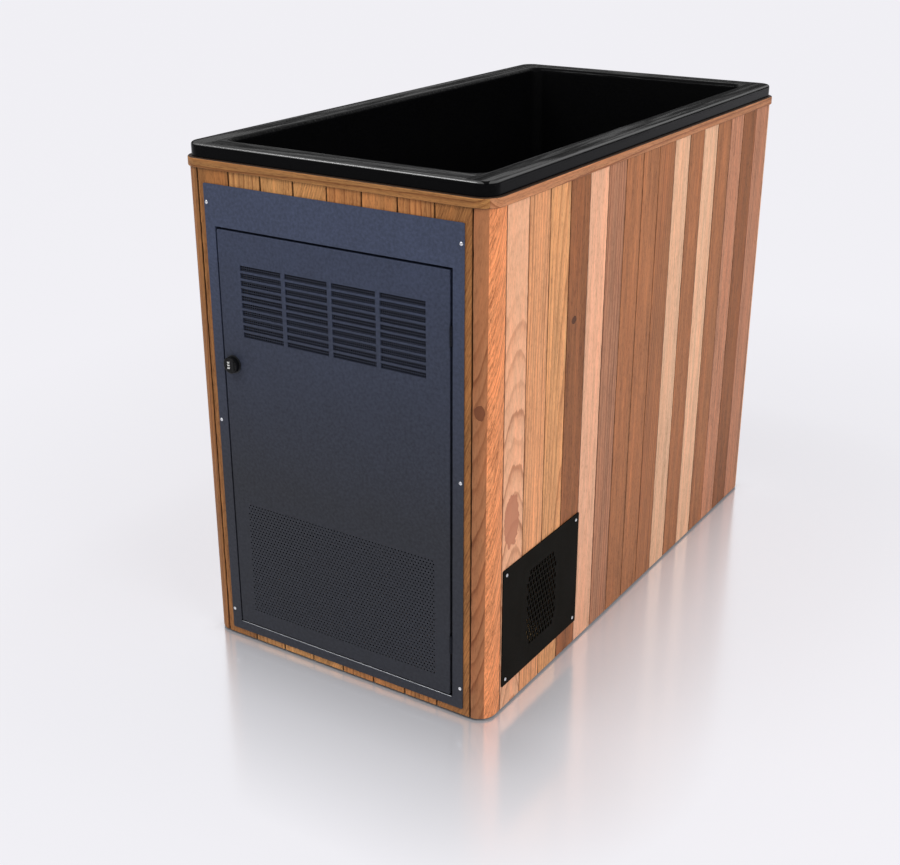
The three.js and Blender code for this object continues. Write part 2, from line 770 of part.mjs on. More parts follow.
function buildBasin() {
  const basin = group('basin_group');
  const outerFillet = BASIN_FILLET + BASIN_WALL;
  const seatFoot = SEAT_HEIGHT - BASIN_WALL;
  const wellFoot = FOOTWELL_FLOOR - BASIN_WALL;

  const upperOutside = loft([
    ...quarterRound(outerFillet).map(([inset, up]) => upperRing(seatFoot + up, BASIN_WALL - inset)),
    upperRing(rimTop - RIM_WALL / 2, BASIN_WALL),
  ]);
  const wellOutside = loft([
    ...quarterRound(outerFillet).map(([inset, up]) => footwellRing(wellFoot + up, BASIN_WALL - inset)),
    footwellRing(seatFoot + outerFillet, BASIN_WALL),
  ]);
  const rimEdge = quarterRound(RIM_ROUND).reverse();
  const rimBody = loft([
    ring(rimX, rimY, rimCorner, trimTop + FIT),
    ...rimEdge.map(([inset, up]) => {
      const z = rimTop - up;
      return ring(rimX - inset, rimY - inset, rimCorner - inset, z);
    }),
  ]);
  const channel = loft([
    ring(rimX - RIM_WALL, rimY - RIM_WALL, rimCorner - RIM_WALL, trimTop - OVERCUT),
    ring(rimX - RIM_WALL, rimY - RIM_WALL, rimCorner - RIM_WALL, rimTop - RIM_WALL),
  ]);
  const upperInside = loft([
    ...quarterRound(BASIN_FILLET).map(([inset, up]) => upperRing(SEAT_HEIGHT + up, -inset)),
    ...rimEdge.map(([inset, up]) => upperRing(rimTop - up, inset)),
    upperRing(rimTop + OVERCUT, RIM_ROUND),
  ]);
  const noseSteps = quarterRound(SEAT_NOSE).reverse();
  const wellInside = loft([
    ...quarterRound(BASIN_FILLET).map(([inset, up]) => footwellRing(FOOTWELL_FLOOR + up, -inset)),
    ...noseSteps.map(([inset, up]) => footwellRing(SEAT_HEIGHT - up, 0, inset)),
    footwellRing(SEAT_HEIGHT + BASIN_FILLET, 0, SEAT_NOSE),
  ]);
  const passages = [
    [suctionX, lowFittingZ], [-RETURN_OFFSET, RETURN_HEIGHT], [DRAIN_OFFSET, lowFittingZ],
  ].map(([x, z]) => {
    const passage = rodY(PIPE_RADIUS + FIT, BASIN_WALL + 2 * OVERCUT);
    return passage.translate(x, riserBack - OVERCUT, z);
  });
  const shell = joined(cut(rimBody, channel), upperOutside, wellOutside);
  piece(basin, 'basin', cut(shell, upperInside, wellInside, ...passages), MOULDED_BLACK);

  const wellX = openX - draftAt(FOOTWELL_FLOOR) - INSULATION_EDGE;
  const wellY = openY - draftAt(FOOTWELL_FLOOR) - INSULATION_EDGE;
  const foam = block(
    -wellX, wellX, riserY + INSULATION_EDGE, wellY, deckTop + FIT, wellFoot - FIT,
  );
  piece(basin, 'floor_insulation', foam, FOAM);

  buildFitting(basin, 'suction_fitting', suctionX, lowFittingZ);
  buildFitting(basin, 'return_fitting', -RETURN_OFFSET, RETURN_HEIGHT);
  buildFitting(basin, 'drain_fitting', DRAIN_OFFSET, lowFittingZ);
}

/** A wall fitting in the riser: a slotted dome in the water and a pipe tail behind. */
function buildFitting(parent, name, x, z) {
  const face = FIT + FITTING_DOME;
  const body = turnedY([
    [0, -BASIN_WALL - FITTING_TAIL],
    [PIPE_RADIUS, -BASIN_WALL - FITTING_TAIL],
    [PIPE_RADIUS, FIT],
    [FITTING_RADIUS, FIT],
    [FITTING_RADIUS, FIT + FITTING_EDGE],
    [PIPE_RADIUS, face],
    [0, face],
  ]);
  const slots = [];
  for (let i = 0; i < GRATE_BARS; i += 1) {
    const middle = (i - (GRATE_BARS - 1) / 2) * GRATE_PITCH;
    slots.push(block(
      -PIPE_RADIUS, PIPE_RADIUS, face - GRATE_DEPTH, face + OVERCUT,
      middle - GRATE_SLOT / 2, middle + GRATE_SLOT / 2,
    ));
  }
  const fitting = piece(parent, name, cut(body, ...slots), MOULDED_BLACK);
  fitting.position.set(x, riserY, z);
}

// Service panel: sheet with a doorway, an inward flange and a stop lip

function buildServicePanel() {
  const service = group('service');
  const outline = roundedRectangle(-panelX, panelX, panelFoot, panelTop, PANEL_CORNER);
  outline.holes.push(rectangularHole(-holeX, holeX, holeFoot, holeTop));
  const sheet = frontPlate(outline, sheetBack, SHEET);
  const around = new THREE.Shape(
    rectangleCorners(-holeX - SHEET, holeX + SHEET, holeFoot - SHEET, holeTop + SHEET),
  );
  around.holes.push(rectangularHole(-holeX, holeX, holeFoot, holeTop));
  const flange = frontPlate(around, lipBack, FLANGE_DEPTH + SHEET);
  const lipFront = lipBack - SHEET;
  const left = block(
    -holeX - WELD, -holeX + STOP_LIP, lipFront, lipBack, holeFoot - WELD, holeTop + WELD,
  );
  const top = block(-holeX, holeX + WELD, lipFront, lipBack, holeTop - STOP_LIP, holeTop + WELD);
  const foot = block(-holeX, holeX + WELD, lipFront, lipBack, holeFoot - WELD, holeFoot + STOP_LIP);
  piece(service, 'service_panel', joined(sheet, flange, left, top, foot), SLATE_STEEL);
  buildDoor(service);
  buildHinge(service, 'hinge_upper', holeTop - UPPER_HINGE_DROP);
  buildHinge(service, 'hinge_lower', holeFoot + LOWER_HINGE_RISE);
  buildLock(service);
}

// Service door: a flush pan with louvres above and round holes below

function buildDoor(service) {
  const outline = roundedRectangle(doorLeft, doorRight, doorFoot, doorTop, DOOR_CORNER);
  const through = [sheetFront - OVERCUT, sheetBack + OVERCUT];
  const fieldX = (LOUVRE_COLUMNS * LOUVRE_WIDTH + (LOUVRE_COLUMNS - 1) * LOUVRE_BRIDGE) / 2;
  const fieldTop = holeTop - LOUVRE_DROP;
  const rowPitch = LOUVRE_HEIGHT + LOUVRE_BAR;
  const fieldHeight = LOUVRE_ROWS * rowPitch - LOUVRE_BAR;
  const openings = [];
  for (let column = 0; column < LOUVRE_COLUMNS; column += 1) {
    const x = -fieldX + column * (LOUVRE_WIDTH + LOUVRE_BRIDGE);
    for (let row = 0; row < LOUVRE_ROWS; row += 1) {
      const z = fieldTop - row * rowPitch;
      openings.push(block(x, x + LOUVRE_WIDTH, ...through, z - LOUVRE_HEIGHT, z));
    }
  }
  const holesX = holeX - HOLES_SIDE;
  const holesFoot = holeFoot + HOLES_BOTTOM;
  const columns = Math.floor((2 * holesX) / HOLE_PITCH);
  const rowStep = HOLE_PITCH * Math.sin(Math.PI / 3);
  const rows = Math.floor(HOLES_HEIGHT / rowStep);
  for (let row = 0; row < rows; row += 1) {
    const odd = row % 2;
    for (let column = 0; column < columns - odd; column += 1) {
      const x = (column - (columns - 1 - odd) / 2) * HOLE_PITCH;
      const z = holesFoot + (row + 0.5) * rowStep;
      openings.push(rodY(HOLE_RADIUS, SHEET + 2 * OVERCUT, HOLE_SIDES).translate(x, through[0], z));
    }
  }
  openings.push(rodY(SLEEVE_RADIUS + FIT, SHEET + 2 * OVERCUT).translate(lockX, through[0], lockZ));
  const skin = cut(frontPlate(outline, sheetBack, SHEET), ...openings);

  outline.holes.push(
    rectangularHole(doorLeft + SHEET, doorRight - SHEET, doorFoot + SHEET, doorTop - SHEET),
  );
  const returns = frontPlate(outline, sheetFront + DOOR_DEPTH, DOOR_DEPTH - SHEET + WELD);
  piece(service, 'service_door', joined(skin, returns), SLATE_STEEL);

  const screen = block(
    -fieldX - SCREEN_LAP, fieldX + SCREEN_LAP, sheetBack + FIT, sheetBack + FIT + SCREEN_THICK,
    fieldTop - fieldHeight - SCREEN_LAP, fieldTop + SCREEN_LAP,
  );
  piece(service, 'louvre_screen', screen, BLACK_STEEL);
}

/** A butt hinge in the gap beside the door, turning on its pin. */
function buildHinge(service, name, z) {
  const knuckle = (BARREL_LENGTH - (KNUCKLES - 1) * FIT) / KNUCKLES;
  const step = knuckle + FIT;
  const foot = z - BARREL_LENGTH / 2;
  const bore = rod(PIN_RADIUS + RUNNING, BARREL_LENGTH + 2 * OVERCUT, SMALL_SIDES).translate(0, 0, -OVERCUT);
  const barrel = (first) => rod(knuckleRadius, knuckle, SMALL_SIDES).translate(0, 0, first * step);
  const relief = (first) => {
    const space = rod(knuckleRadius + FIT, knuckle + 2 * FIT, SMALL_SIDES);
    return space.translate(0, 0, first * step - FIT);
  };
  const flap = (x) => block(x, x + LEAF_THICK, 0, LEAF_DEPTH, 0, BARREL_LENGTH);
  const frameFlap = cut(flap(knuckleRadius - LEAF_THICK), relief(1));
  const doorFlap = cut(flap(-knuckleRadius), relief(0), relief(2));
  const frameLeaf = cut(joined(frameFlap, barrel(0), barrel(2)), bore);
  const doorLeaf = cut(joined(doorFlap, barrel(1)), bore);
  const headFoot = BARREL_LENGTH + FIT;
  const pin = turned([
    [0, 0],
    [PIN_RADIUS, 0],
    [PIN_RADIUS, headFoot],
    [PIN_HEAD_RADIUS, headFoot],
    [PIN_HEAD_RADIUS, headFoot + PIN_HEAD_HEIGHT],
    [0, headFoot + PIN_HEAD_HEIGHT],
  ], SMALL_SIDES);
  for (const [part, geometry] of [['frame_leaf', frameLeaf], ['door_leaf', doorLeaf], ['pin', pin]]) {
    const mesh = piece(service, `${name}_${part}`, geometry, BRIGHT_STEEL);
    mesh.position.set(hingeX, sheetFront, foot);
  }
}

// Combination lock: the knob turns the cam behind the stop lip

function buildLock(service) {
  const sleeveEnd = camFront - FIT;
  const spindleBore = SPINDLE_RADIUS + RUNNING;
  const body = turnedY([
    [spindleBore, flangeFront],
    [LOCK_RADIUS, flangeFront],
    [LOCK_RADIUS, sheetFront - FIT],
    [SLEEVE_RADIUS, sheetFront - FIT],
    [SLEEVE_RADIUS, sleeveEnd],
    [spindleBore, sleeveEnd],
    [spindleBore, flangeFront],
  ]);
  const nut = cut(
    rodY(NUT_RADIUS, NUT_HEIGHT, HEX),
    rodY(SLEEVE_RADIUS + FIT, NUT_HEIGHT + 2 * OVERCUT).translate(0, -OVERCUT, 0),
  ).translate(0, sheetBack + FIT, 0);

  const camBack = camFront + CAM_THICK;
  const knobBack = flangeFront - FIT;
  const knobBody = turnedY([
    [0, knobFront],
    [KNOB_RADIUS - KNOB_ROUND, knobFront],
    [KNOB_RADIUS, knobFront + KNOB_ROUND],
    [KNOB_RADIUS, knobBack],
    [SPINDLE_RADIUS, knobBack],
    [SPINDLE_RADIUS, camBack],
    [0, camBack],
  ]);
  const grip = block(
    GRIP_OFFSET - GRIP_WIDTH / 2, GRIP_OFFSET + GRIP_WIDTH / 2,
    knobFront - GRIP_PROUD, knobFront + WELD, -GRIP_LENGTH / 2, GRIP_LENGTH / 2,
  );
  const dialY = knobFront - DIAL_PROUD + DIAL_RADIUS;
  const slotX = DIAL_RADIUS + RUNNING;
  const slotZ = 1.5 * DIAL_PITCH;
  const slot = block(
    -DIAL_OFFSET - slotX, -DIAL_OFFSET + slotX, knobFront - OVERCUT, dialY + slotX, -slotZ, slotZ,
  );
  const axleLength = 2 * (slotZ + WELD);
  const axle = rod(AXLE_RADIUS, axleLength, SMALL_SIDES).translate(-DIAL_OFFSET, dialY, -axleLength / 2);
  const knob = joined(cut(joined(knobBody, grip), slot), axle);

  const camShape = new THREE.Shape();
  const camTip = CAM_TIP_RADIUS - CAM_REACH;
  camShape.absarc(0, 0, CAM_RADIUS, 0, Math.PI);
  camShape.absarc(0, camTip, CAM_TIP_RADIUS, Math.PI, 2 * Math.PI);
  camShape.holes.push(roundHole(0, 0, SPINDLE_RADIUS + FIT, SMALL_SIDES));
  const cam = frontPlate(camShape, camBack, CAM_THICK);

  const parts = [
    ['lock_body', body, MOULDED_BLACK],
    ['lock_nut', nut, BRIGHT_STEEL],
    ['lock_knob', knob, MOULDED_BLACK],
    ['lock_cam', cam, BRIGHT_STEEL],
  ];
  for (const [name, geometry, finish] of parts) {
    piece(service, name, geometry, finish).position.set(lockX, 0, lockZ);
  }
  const dialWidth = DIAL_PITCH - FIT;
  ['lower', 'middle', 'upper'].forEach((place, i) => {
    const dial = cut(
      rod(DIAL_RADIUS, dialWidth, DIAL_DIGITS),
      rod(AXLE_RADIUS + RUNNING, dialWidth + 2 * OVERCUT, SMALL_SIDES).translate(0, 0, -OVERCUT),
    ).translate(0, 0, -dialWidth / 2);
    const mesh = piece(service, `lock_dial_${place}`, dial, MOULDED_BLACK);
    mesh.position.set(lockX - DIAL_OFFSET, dialY, lockZ + (i - 1) * DIAL_PITCH);
  });
}

// Side vent plate: upright slots inside a barrel-shaped window

function buildVentPlate() {
  const vent = group('vent');
  const outline = roundedRectangle(
    -VENT_LENGTH / 2, VENT_LENGTH / 2, -VENT_HEIGHT / 2, VENT_HEIGHT / 2, VENT_CORNER,
  );
  const across = Math.floor(VENT_HALF_WIDTH / SLOT_PITCH_Y);
  const rise = Math.floor((VENT_STRAIGHT + VENT_CAP) / SLOT_PITCH_Z);
  const slots = [];
  for (let row = -rise; row <= rise; row += 1) {
    const stagger = row % 2 === 0 ? 0 : SLOT_PITCH_Y / 2;
    for (let column = -across; column <= across; column += 1) {
      const y = column * SLOT_PITCH_Y + stagger;
      const z = row * SLOT_PITCH_Z;
      const share = Math.min(1, Math.abs(y) / VENT_HALF_WIDTH);
      const limit = VENT_STRAIGHT + VENT_CAP * Math.sqrt(1 - share * share);
      const inWidth = Math.abs(y) + SLOT_WIDTH / 2 <= VENT_HALF_WIDTH;
      const inHeight = Math.abs(z) + SLOT_HEIGHT / 2 <= limit;
      if (inWidth && inHeight) {
        slots.push(block(
          -OVERCUT, SHEET + OVERCUT, y - SLOT_WIDTH / 2, y + SLOT_WIDTH / 2,
          z - SLOT_HEIGHT / 2, z + SLOT_HEIGHT / 2,
        ));
      }
    }
  }
  const plate = cut(sidePlate(outline, 0, SHEET), ...slots);
  const mesh = piece(vent, 'side_vent_plate', plate, BLACK_STEEL);
  mesh.position.set(sideX + FIT, ventY, ventZ);
}

// Pump: finned motor towards the vent, wet end towards the filter

function buildPump() {
  const pump = group('pump');
  const root = MOTOR_RADIUS - MOTOR_FIN;
  const finCount = FIN_CORNERS * MOTOR_FINS;
  const finCorners = Array.from({ length: finCount }, (_, i) => {
    const angle = (2 * Math.PI * (i + 0.5)) / finCount;
    const radius = i % FIN_CORNERS < FIN_CORNERS / 2 ? MOTOR_RADIUS : root;
    return new THREE.Vector2(radius * Math.cos(angle), radius * Math.sin(angle));
  });
  const fins = new THREE.Shape(finCorners);
  const finned = extruded(fins, MOTOR_LENGTH - MOTOR_CAP + WELD).rotateY(Math.PI / 2);
  const cap = turnedX([
    [0, MOTOR_LENGTH - MOTOR_CAP],
    [MOTOR_RADIUS, MOTOR_LENGTH - MOTOR_CAP],
    [MOTOR_RADIUS, MOTOR_LENGTH - MOTOR_CAP_ROUND],
    [MOTOR_RADIUS - MOTOR_CAP_ROUND, MOTOR_LENGTH],
    [0, MOTOR_LENGTH],
  ]);
  const middle = (MOTOR_LENGTH - MOTOR_CAP) / 2;
  const footX0 = middle - FOOT_LENGTH / 2;
  const footX1 = middle + FOOT_LENGTH / 2;
  const foot = block(
    footX0, footX1, -FOOT_WIDTH / 2, FOOT_WIDTH / 2, -PUMP_AXIS_HEIGHT, -PUMP_AXIS_HEIGHT + FOOT_THICK,
  );
  const web = block(
    footX0 + FOOT_THICK, footX1 - FOOT_THICK, -FOOT_WEB / 2, FOOT_WEB / 2,
    -PUMP_AXIS_HEIGHT + FOOT_THICK - WELD, 0,
  );
  const terminal = block(
    middle - TERMINAL_LENGTH / 2, middle + TERMINAL_LENGTH / 2,
    -TERMINAL_WIDTH / 2, TERMINAL_WIDTH / 2, 0, MOTOR_RADIUS + TERMINAL_RISE,
  );
  const shaftBore = rodX(SHAFT_RADIUS + RUNNING, SHAFT_DEPTH + OVERCUT).translate(-OVERCUT, 0, 0);
  const motor = cut(joined(finned, cap, foot, web, terminal), shaftBore);
  piece(pump, 'pump_motor', motor, PUMP_GREY).position.set(motorStart, equipmentY, pumpZ);

  const voluteFront = pumpFront - pumpBack;
  const chamberDepth = IMPELLER_DISC + IMPELLER_BLADE + 2 * IMPELLER_CLEARANCE;
  const casing = turnedX([
    [0, voluteFront - INLET_LENGTH],
    [SPIGOT_RADIUS, voluteFront - INLET_LENGTH],
    [SPIGOT_RADIUS, voluteFront],
    [VOLUTE_RADIUS - MOTOR_CAP_ROUND, voluteFront],
    [VOLUTE_RADIUS, voluteFront + MOTOR_CAP_ROUND],
    [VOLUTE_RADIUS, -PUMP_PLATE],
    [PUMP_PLATE_RADIUS, -PUMP_PLATE],
    [PUMP_PLATE_RADIUS, 0],
    [0, 0],
  ]);
  const outlet = rod(SPIGOT_RADIUS, OUTLET_RISE).translate(outletX - pumpBack, 0, 0);
  const chamber = rodX(IMPELLER_RADIUS + IMPELLER_CLEARANCE, chamberDepth);
  chamber.translate(-PUMP_PLATE - chamberDepth, 0, 0);
  const seal = rodX(SHAFT_RADIUS + RUNNING, PUMP_PLATE + 2 * OVERCUT).translate(-PUMP_PLATE - OVERCUT, 0, 0);
  const housing = cut(joined(casing, outlet), chamber, seal);
  piece(pump, 'pump_housing', housing, MOULDED_BLACK).position.set(pumpBack, equipmentY, pumpZ);

  const discBack = -PUMP_PLATE - IMPELLER_CLEARANCE;
  const discFront = discBack - IMPELLER_DISC;
  const bladeFront = discFront - IMPELLER_BLADE;
  const shaft = turnedX([
    [0, bladeFront],
    [HUB_RADIUS, bladeFront],
    [HUB_RADIUS, discFront],
    [IMPELLER_RADIUS, discFront],
    [IMPELLER_RADIUS, discBack],
    [SHAFT_RADIUS, discBack],
    [SHAFT_RADIUS, SHAFT_DEPTH - FIT],
    [0, SHAFT_DEPTH - FIT],
  ]);
  const blades = [];
  for (let i = 0; i < IMPELLER_BLADES; i += 1) {
    const blade = block(
      bladeFront, discFront + WELD, HUB_RADIUS - WELD, IMPELLER_RADIUS - WELD,
      -BLADE_THICK / 2, BLADE_THICK / 2,
    );
    blades.push(blade.rotateX((2 * Math.PI * i) / IMPELLER_BLADES));
  }
  const rotor = joined(shaft, ...blades);
  piece(pump, 'pump_rotor', rotor, BRIGHT_STEEL).position.set(pumpBack, equipmentY, pumpZ);
}

// Filter: the head hangs from the left ledger and the bowl unscrews below it

function buildFilter() {
  const filter = group('filter');
  const bracket = block(
    -innerX, filterX + FILTER_HEAD_RADIUS / 2,
    equipmentY - BRACKET_WIDTH / 2, equipmentY + BRACKET_WIDTH / 2,
    ledgerBottom - FIT - BRACKET_THICK, ledgerBottom - FIT,
  );
  piece(filter, 'filter_bracket', bracket, BRIGHT_STEEL);

  const headBody = turned([
    [0, 0],
    [FILTER_HEAD_RADIUS, 0],
    [FILTER_HEAD_RADIUS, FILTER_HEAD_HEIGHT / 2],
    [FILTER_HEAD_RADIUS - BOWL_ROUND, FILTER_HEAD_HEIGHT],
    [0, FILTER_HEAD_HEIGHT],
  ]);
  const ports = rodX(SPIGOT_RADIUS, 2 * HEAD_PORT_REACH);
  ports.translate(-HEAD_PORT_REACH, 0, FILTER_HEAD_HEIGHT / 2);
  const head = piece(filter, 'filter_head', joined(headBody, ports), MOULDED_BLACK);
  head.position.set(filterX, equipmentY, filterFoot);

  const inner = BOWL_RADIUS - BOWL_WALL;
  const cup = turned([
    [0, 0],
    [BOWL_RADIUS - BOWL_ROUND, 0],
    [BOWL_RADIUS, BOWL_ROUND],
    [BOWL_RADIUS, BOWL_LENGTH - COLLAR_HEIGHT],
    [COLLAR_RADIUS - GRIP_RADIUS, BOWL_LENGTH - COLLAR_HEIGHT],
    [COLLAR_RADIUS - GRIP_RADIUS, BOWL_LENGTH],
    [inner, BOWL_LENGTH],
    [inner, BOWL_ROUND],
    [inner - BOWL_ROUND + BOWL_WALL, BOWL_WALL],
    [0, BOWL_WALL],
  ]);
  const grips = [];
  for (let i = 0; i < COLLAR_GRIPS; i += 1) {
    const angle = (2 * Math.PI * i) / COLLAR_GRIPS;
    const grip = rod(GRIP_RADIUS, COLLAR_HEIGHT, GRIP_SIDES);
    grip.translate(COLLAR_RADIUS - GRIP_RADIUS, 0, BOWL_LENGTH - COLLAR_HEIGHT);
    grips.push(grip.rotateZ(angle));
  }
  const bowl = piece(filter, 'filter_bowl', joined(cup, ...grips), FILTER_BLUE);
  bowl.position.set(filterX, equipmentY, bowlFoot);

  const elementFoot = BOWL_WALL + FIT;
  const elementTop = BOWL_LENGTH;
  const neck = CARTRIDGE_RADIUS - CARTRIDGE_NECK;
  const element = turned([
    [CARTRIDGE_CORE, elementFoot],
    [neck, elementFoot],
    [neck, elementFoot + CARTRIDGE_CAP],
    [CARTRIDGE_RADIUS, elementFoot + CARTRIDGE_CAP],
    [CARTRIDGE_RADIUS, elementTop - CARTRIDGE_CAP],
    [neck, elementTop - CARTRIDGE_CAP],
    [neck, elementTop],
    [CARTRIDGE_CORE, elementTop],
    [CARTRIDGE_CORE, elementFoot],
  ]);
  const cartridge = piece(filter, 'filter_cartridge', element, CARTRIDGE_WHITE);
  cartridge.position.set(filterX, equipmentY, bowlFoot);
}

// Pipes, wall ports and the drain

function buildPipes() {
  const pipes = group('pipes');
  const suction = pipe([
    point(suctionX, fittingEnd - FIT, lowFittingZ),
    point(suctionX, equipmentY, lowFittingZ),
    point(suctionX, equipmentY, pumpZ),
    point(inletEnd - FIT, equipmentY, pumpZ),
  ]);
  piece(pipes, 'suction_pipe', suction, PIPE_WHITE);
  const outlet = pipe([
    point(outletX, equipmentY, pumpZ + OUTLET_RISE + FIT),
    point(outletX, equipmentY, filterPortZ),
    point(filterX + HEAD_PORT_REACH + FIT, equipmentY, filterPortZ),
  ]);
  piece(pipes, 'pump_outlet_pipe', outlet, PIPE_WHITE);
  const returned = pipe([
    point(-innerX + PORT_TAIL + FIT, returnPortY, RETURN_HEIGHT),
    point(-RETURN_OFFSET, returnPortY, RETURN_HEIGHT),
    point(-RETURN_OFFSET, fittingEnd - FIT, RETURN_HEIGHT),
  ]);
  piece(pipes, 'return_pipe', returned, PIPE_WHITE);

  buildPort(pipes, 'feed_port', equipmentY, filterPortZ, filterX - HEAD_PORT_REACH - FIT);
  buildPort(pipes, 'return_port', returnPortY, RETURN_HEIGHT, -innerX + PORT_TAIL);
  buildDrain(pipes);
}

/** A flanged port through the left wall: a socket outside and a tail inside. */
function buildPort(parent, name, y, z, tailEnd) {
  const outside = -sideX - FIT;
  const flangeFace = outside - PORT_FLANGE;
  const body = turnedX([
    [0, flangeFace + PORT_SOCKET],
    [PORT_BORE, flangeFace + PORT_SOCKET],
    [PORT_BORE, flangeFace],
    [PORT_FLANGE_RADIUS, flangeFace],
    [PORT_FLANGE_RADIUS, outside],
    [PORT_SLEEVE, outside],
    [PORT_SLEEVE, tailEnd],
    [0, tailEnd],
  ]);
  piece(parent, name, body, MOULDED_BLACK).position.set(0, y, z);
}

function buildDrain(parent) {
  const valveStart = fittingEnd - FIT;
  const ballY = -VALVE_LENGTH / 2;
  const body = turnedY([
    [0, -VALVE_LENGTH],
    [VALVE_NOZZLE, -VALVE_LENGTH],
    [VALVE_NOZZLE, ballY - VALVE_BALL],
    [VALVE_BALL, ballY - VALVE_BALL / 2],
    [VALVE_BALL, ballY + VALVE_BALL / 2],
    [PIPE_RADIUS, ballY + VALVE_BALL],
    [PIPE_RADIUS, 0],
    [0, 0],
  ]);
  const stem = rod(STEM_RADIUS, VALVE_BALL + STEM_RISE, SMALL_SIDES).translate(0, ballY, 0);
  const valve = piece(parent, 'drain_valve', joined(body, stem), BRIGHT_STEEL);
  valve.position.set(DRAIN_OFFSET, valveStart, lowFittingZ);

  const handle = new THREE.Shape();
  handle.absarc(0, 0, LEVER_WIDTH / 2, -Math.PI / 2, Math.PI / 2);
  handle.lineTo(-LEVER_LENGTH, LEVER_TIP / 2);
  handle.lineTo(-LEVER_LENGTH, -LEVER_TIP / 2);
  const lever = piece(parent, 'drain_lever', extruded(handle, LEVER_THICK), LEVER_RED);
  lever.position.set(DRAIN_OFFSET, valveStart + ballY, lowFittingZ + VALVE_BALL + STEM_RISE + FIT);
}

// Control box on the right wall

function buildControls() {
  const controls = group('controls');
  const boxY = frontY + BOX_FROM_FRONT;
  const outline = roundedRectangle(boxY, boxY + BOX_LENGTH, boxBase, boxBase + BOX_HEIGHT, BOX_CORNER);
  const boxStart = innerX - BOX_DEPTH;
  piece(controls, 'control_box', sidePlate(outline, boxStart, BOX_DEPTH), BOX_GREY);
  piece(controls, 'control_lid', sidePlate(outline, boxStart - FIT - BOX_LID, BOX_LID), BOX_GREY);
  const gland = cut(
    joined(
      rod(GLAND_NUT, GLAND_LENGTH / 2, HEX).translate(0, 0, -GLAND_LENGTH / 2),
      rod(GLAND_RADIUS, GLAND_LENGTH).translate(0, 0, -GLAND_LENGTH),
    ),
    rod(GLAND_BORE, GLAND_LENGTH - FIT + OVERCUT, SMALL_SIDES).translate(0, 0, -GLAND_LENGTH - OVERCUT),
  );
  const mesh = piece(controls, 'mains_gland', gland, MOULDED_BLACK);
  mesh.position.set(innerX - BOX_DEPTH / 2, boxY + BOX_LENGTH / 2, boxBase - FIT);
}

buildFrame();
buildCladding();
buildTrim();
buildBasin();
buildServicePanel();
buildVentPlate();
buildPump();
buildFilter();
buildPipes();
buildControls();

// The origin lies midway between the lock's front and the trim's back
const frontReach = Math.max(DIAL_PROUD, GRIP_PROUD) - knobFront;
const backReach = backY + TRIM_OVERHANG;
tub.position.y = (frontReach - backReach) / 2;

const assembly = new THREE.Group();
assembly.name = 'assembly';
assembly.add(tub);

export default assembly;
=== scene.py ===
"""Cedar-clad cold plunge tub: boards, trim, basin, steel door, vent plate and equipment in a studio.

Lengths are millimetres in the tub's own frame: X to the right as seen from the door, Y from the door to
the rear, Z up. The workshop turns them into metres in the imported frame.
"""

import logging
import math
import random
from collections.abc import Callable, Mapping, Sequence
from dataclasses import dataclass, field
from enum import Enum
from functools import cache

import bmesh
import bpy
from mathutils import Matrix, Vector
from mathutils.geometry import delaunay_2d_cdt


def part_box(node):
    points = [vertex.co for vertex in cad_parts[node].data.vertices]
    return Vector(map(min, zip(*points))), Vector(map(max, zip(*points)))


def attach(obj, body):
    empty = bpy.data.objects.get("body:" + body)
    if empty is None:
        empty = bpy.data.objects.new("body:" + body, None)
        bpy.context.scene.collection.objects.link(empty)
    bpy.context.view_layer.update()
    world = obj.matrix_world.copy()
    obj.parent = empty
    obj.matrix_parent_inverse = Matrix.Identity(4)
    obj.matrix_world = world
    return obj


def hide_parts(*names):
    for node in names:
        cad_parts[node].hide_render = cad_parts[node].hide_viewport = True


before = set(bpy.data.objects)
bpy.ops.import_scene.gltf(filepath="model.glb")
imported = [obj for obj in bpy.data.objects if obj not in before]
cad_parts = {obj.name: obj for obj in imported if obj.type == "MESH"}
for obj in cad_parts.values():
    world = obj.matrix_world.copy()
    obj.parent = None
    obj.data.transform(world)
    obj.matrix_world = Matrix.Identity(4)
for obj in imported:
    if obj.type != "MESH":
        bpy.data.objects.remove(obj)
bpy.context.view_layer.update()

LOG = logging.getLogger("tub")
MM = 0.001
LEVEL = (1.0, 1.0, 0.0)

Flat = tuple[float, float]
Point = tuple[float, float, float]
Colour = tuple[float, float, float]
Tint = tuple[float, float, float, float]
Socket = bpy.types.NodeSocket
Feed = Socket | float | Point | Tint
Lay = Callable[[float, float, float], Point]

# Sizes that several sub-assemblies share
FIT = 0.3
SIDE_X = 340.0
BACK_Y = 652.0
BOARD_FOOT = 5.0
BOARD_TOP = 1001.7
BOARD_THICK = 19.0
CORNER_RADIUS = 36.0
TRIM_REACH = 4.0
SHEET = 2.0
SHEET_BACK = -BACK_Y - FIT
SHEET_FRONT = SHEET_BACK - SHEET
DOORWAY_X = 266.0
DOORWAY_FOOT = 39.0
DOORWAY_TOP = 895.0
LOCK_X = -241.0
LOCK_Z = 624.0
EQUIPMENT_Y = -430.0
PUMP_Z = 130.6
OUTLET_X = 58.4
FEED_PORT = (EQUIPMENT_Y, 480.1)
RETURN_PORT = (-310.0, 300.0)
SUCTION_X = -54.6
RETURN_X = -130.0
DRAIN_X = 125.0
LOW_FITTING_Z = 192.0
FITTING_TAIL_Y = -238.3


def painted(red: int, green: int, blue: int) -> Colour:
    """Turn a display colour of 0 to 255 per channel into a linear one."""
    levels = (level / 255 for level in (red, green, blue))
    return tuple(v / 12.92 if v <= 0.04045 else ((v + 0.055) / 1.055) ** 2.4 for v in levels)


# Shader wiring and the effects that finishes share


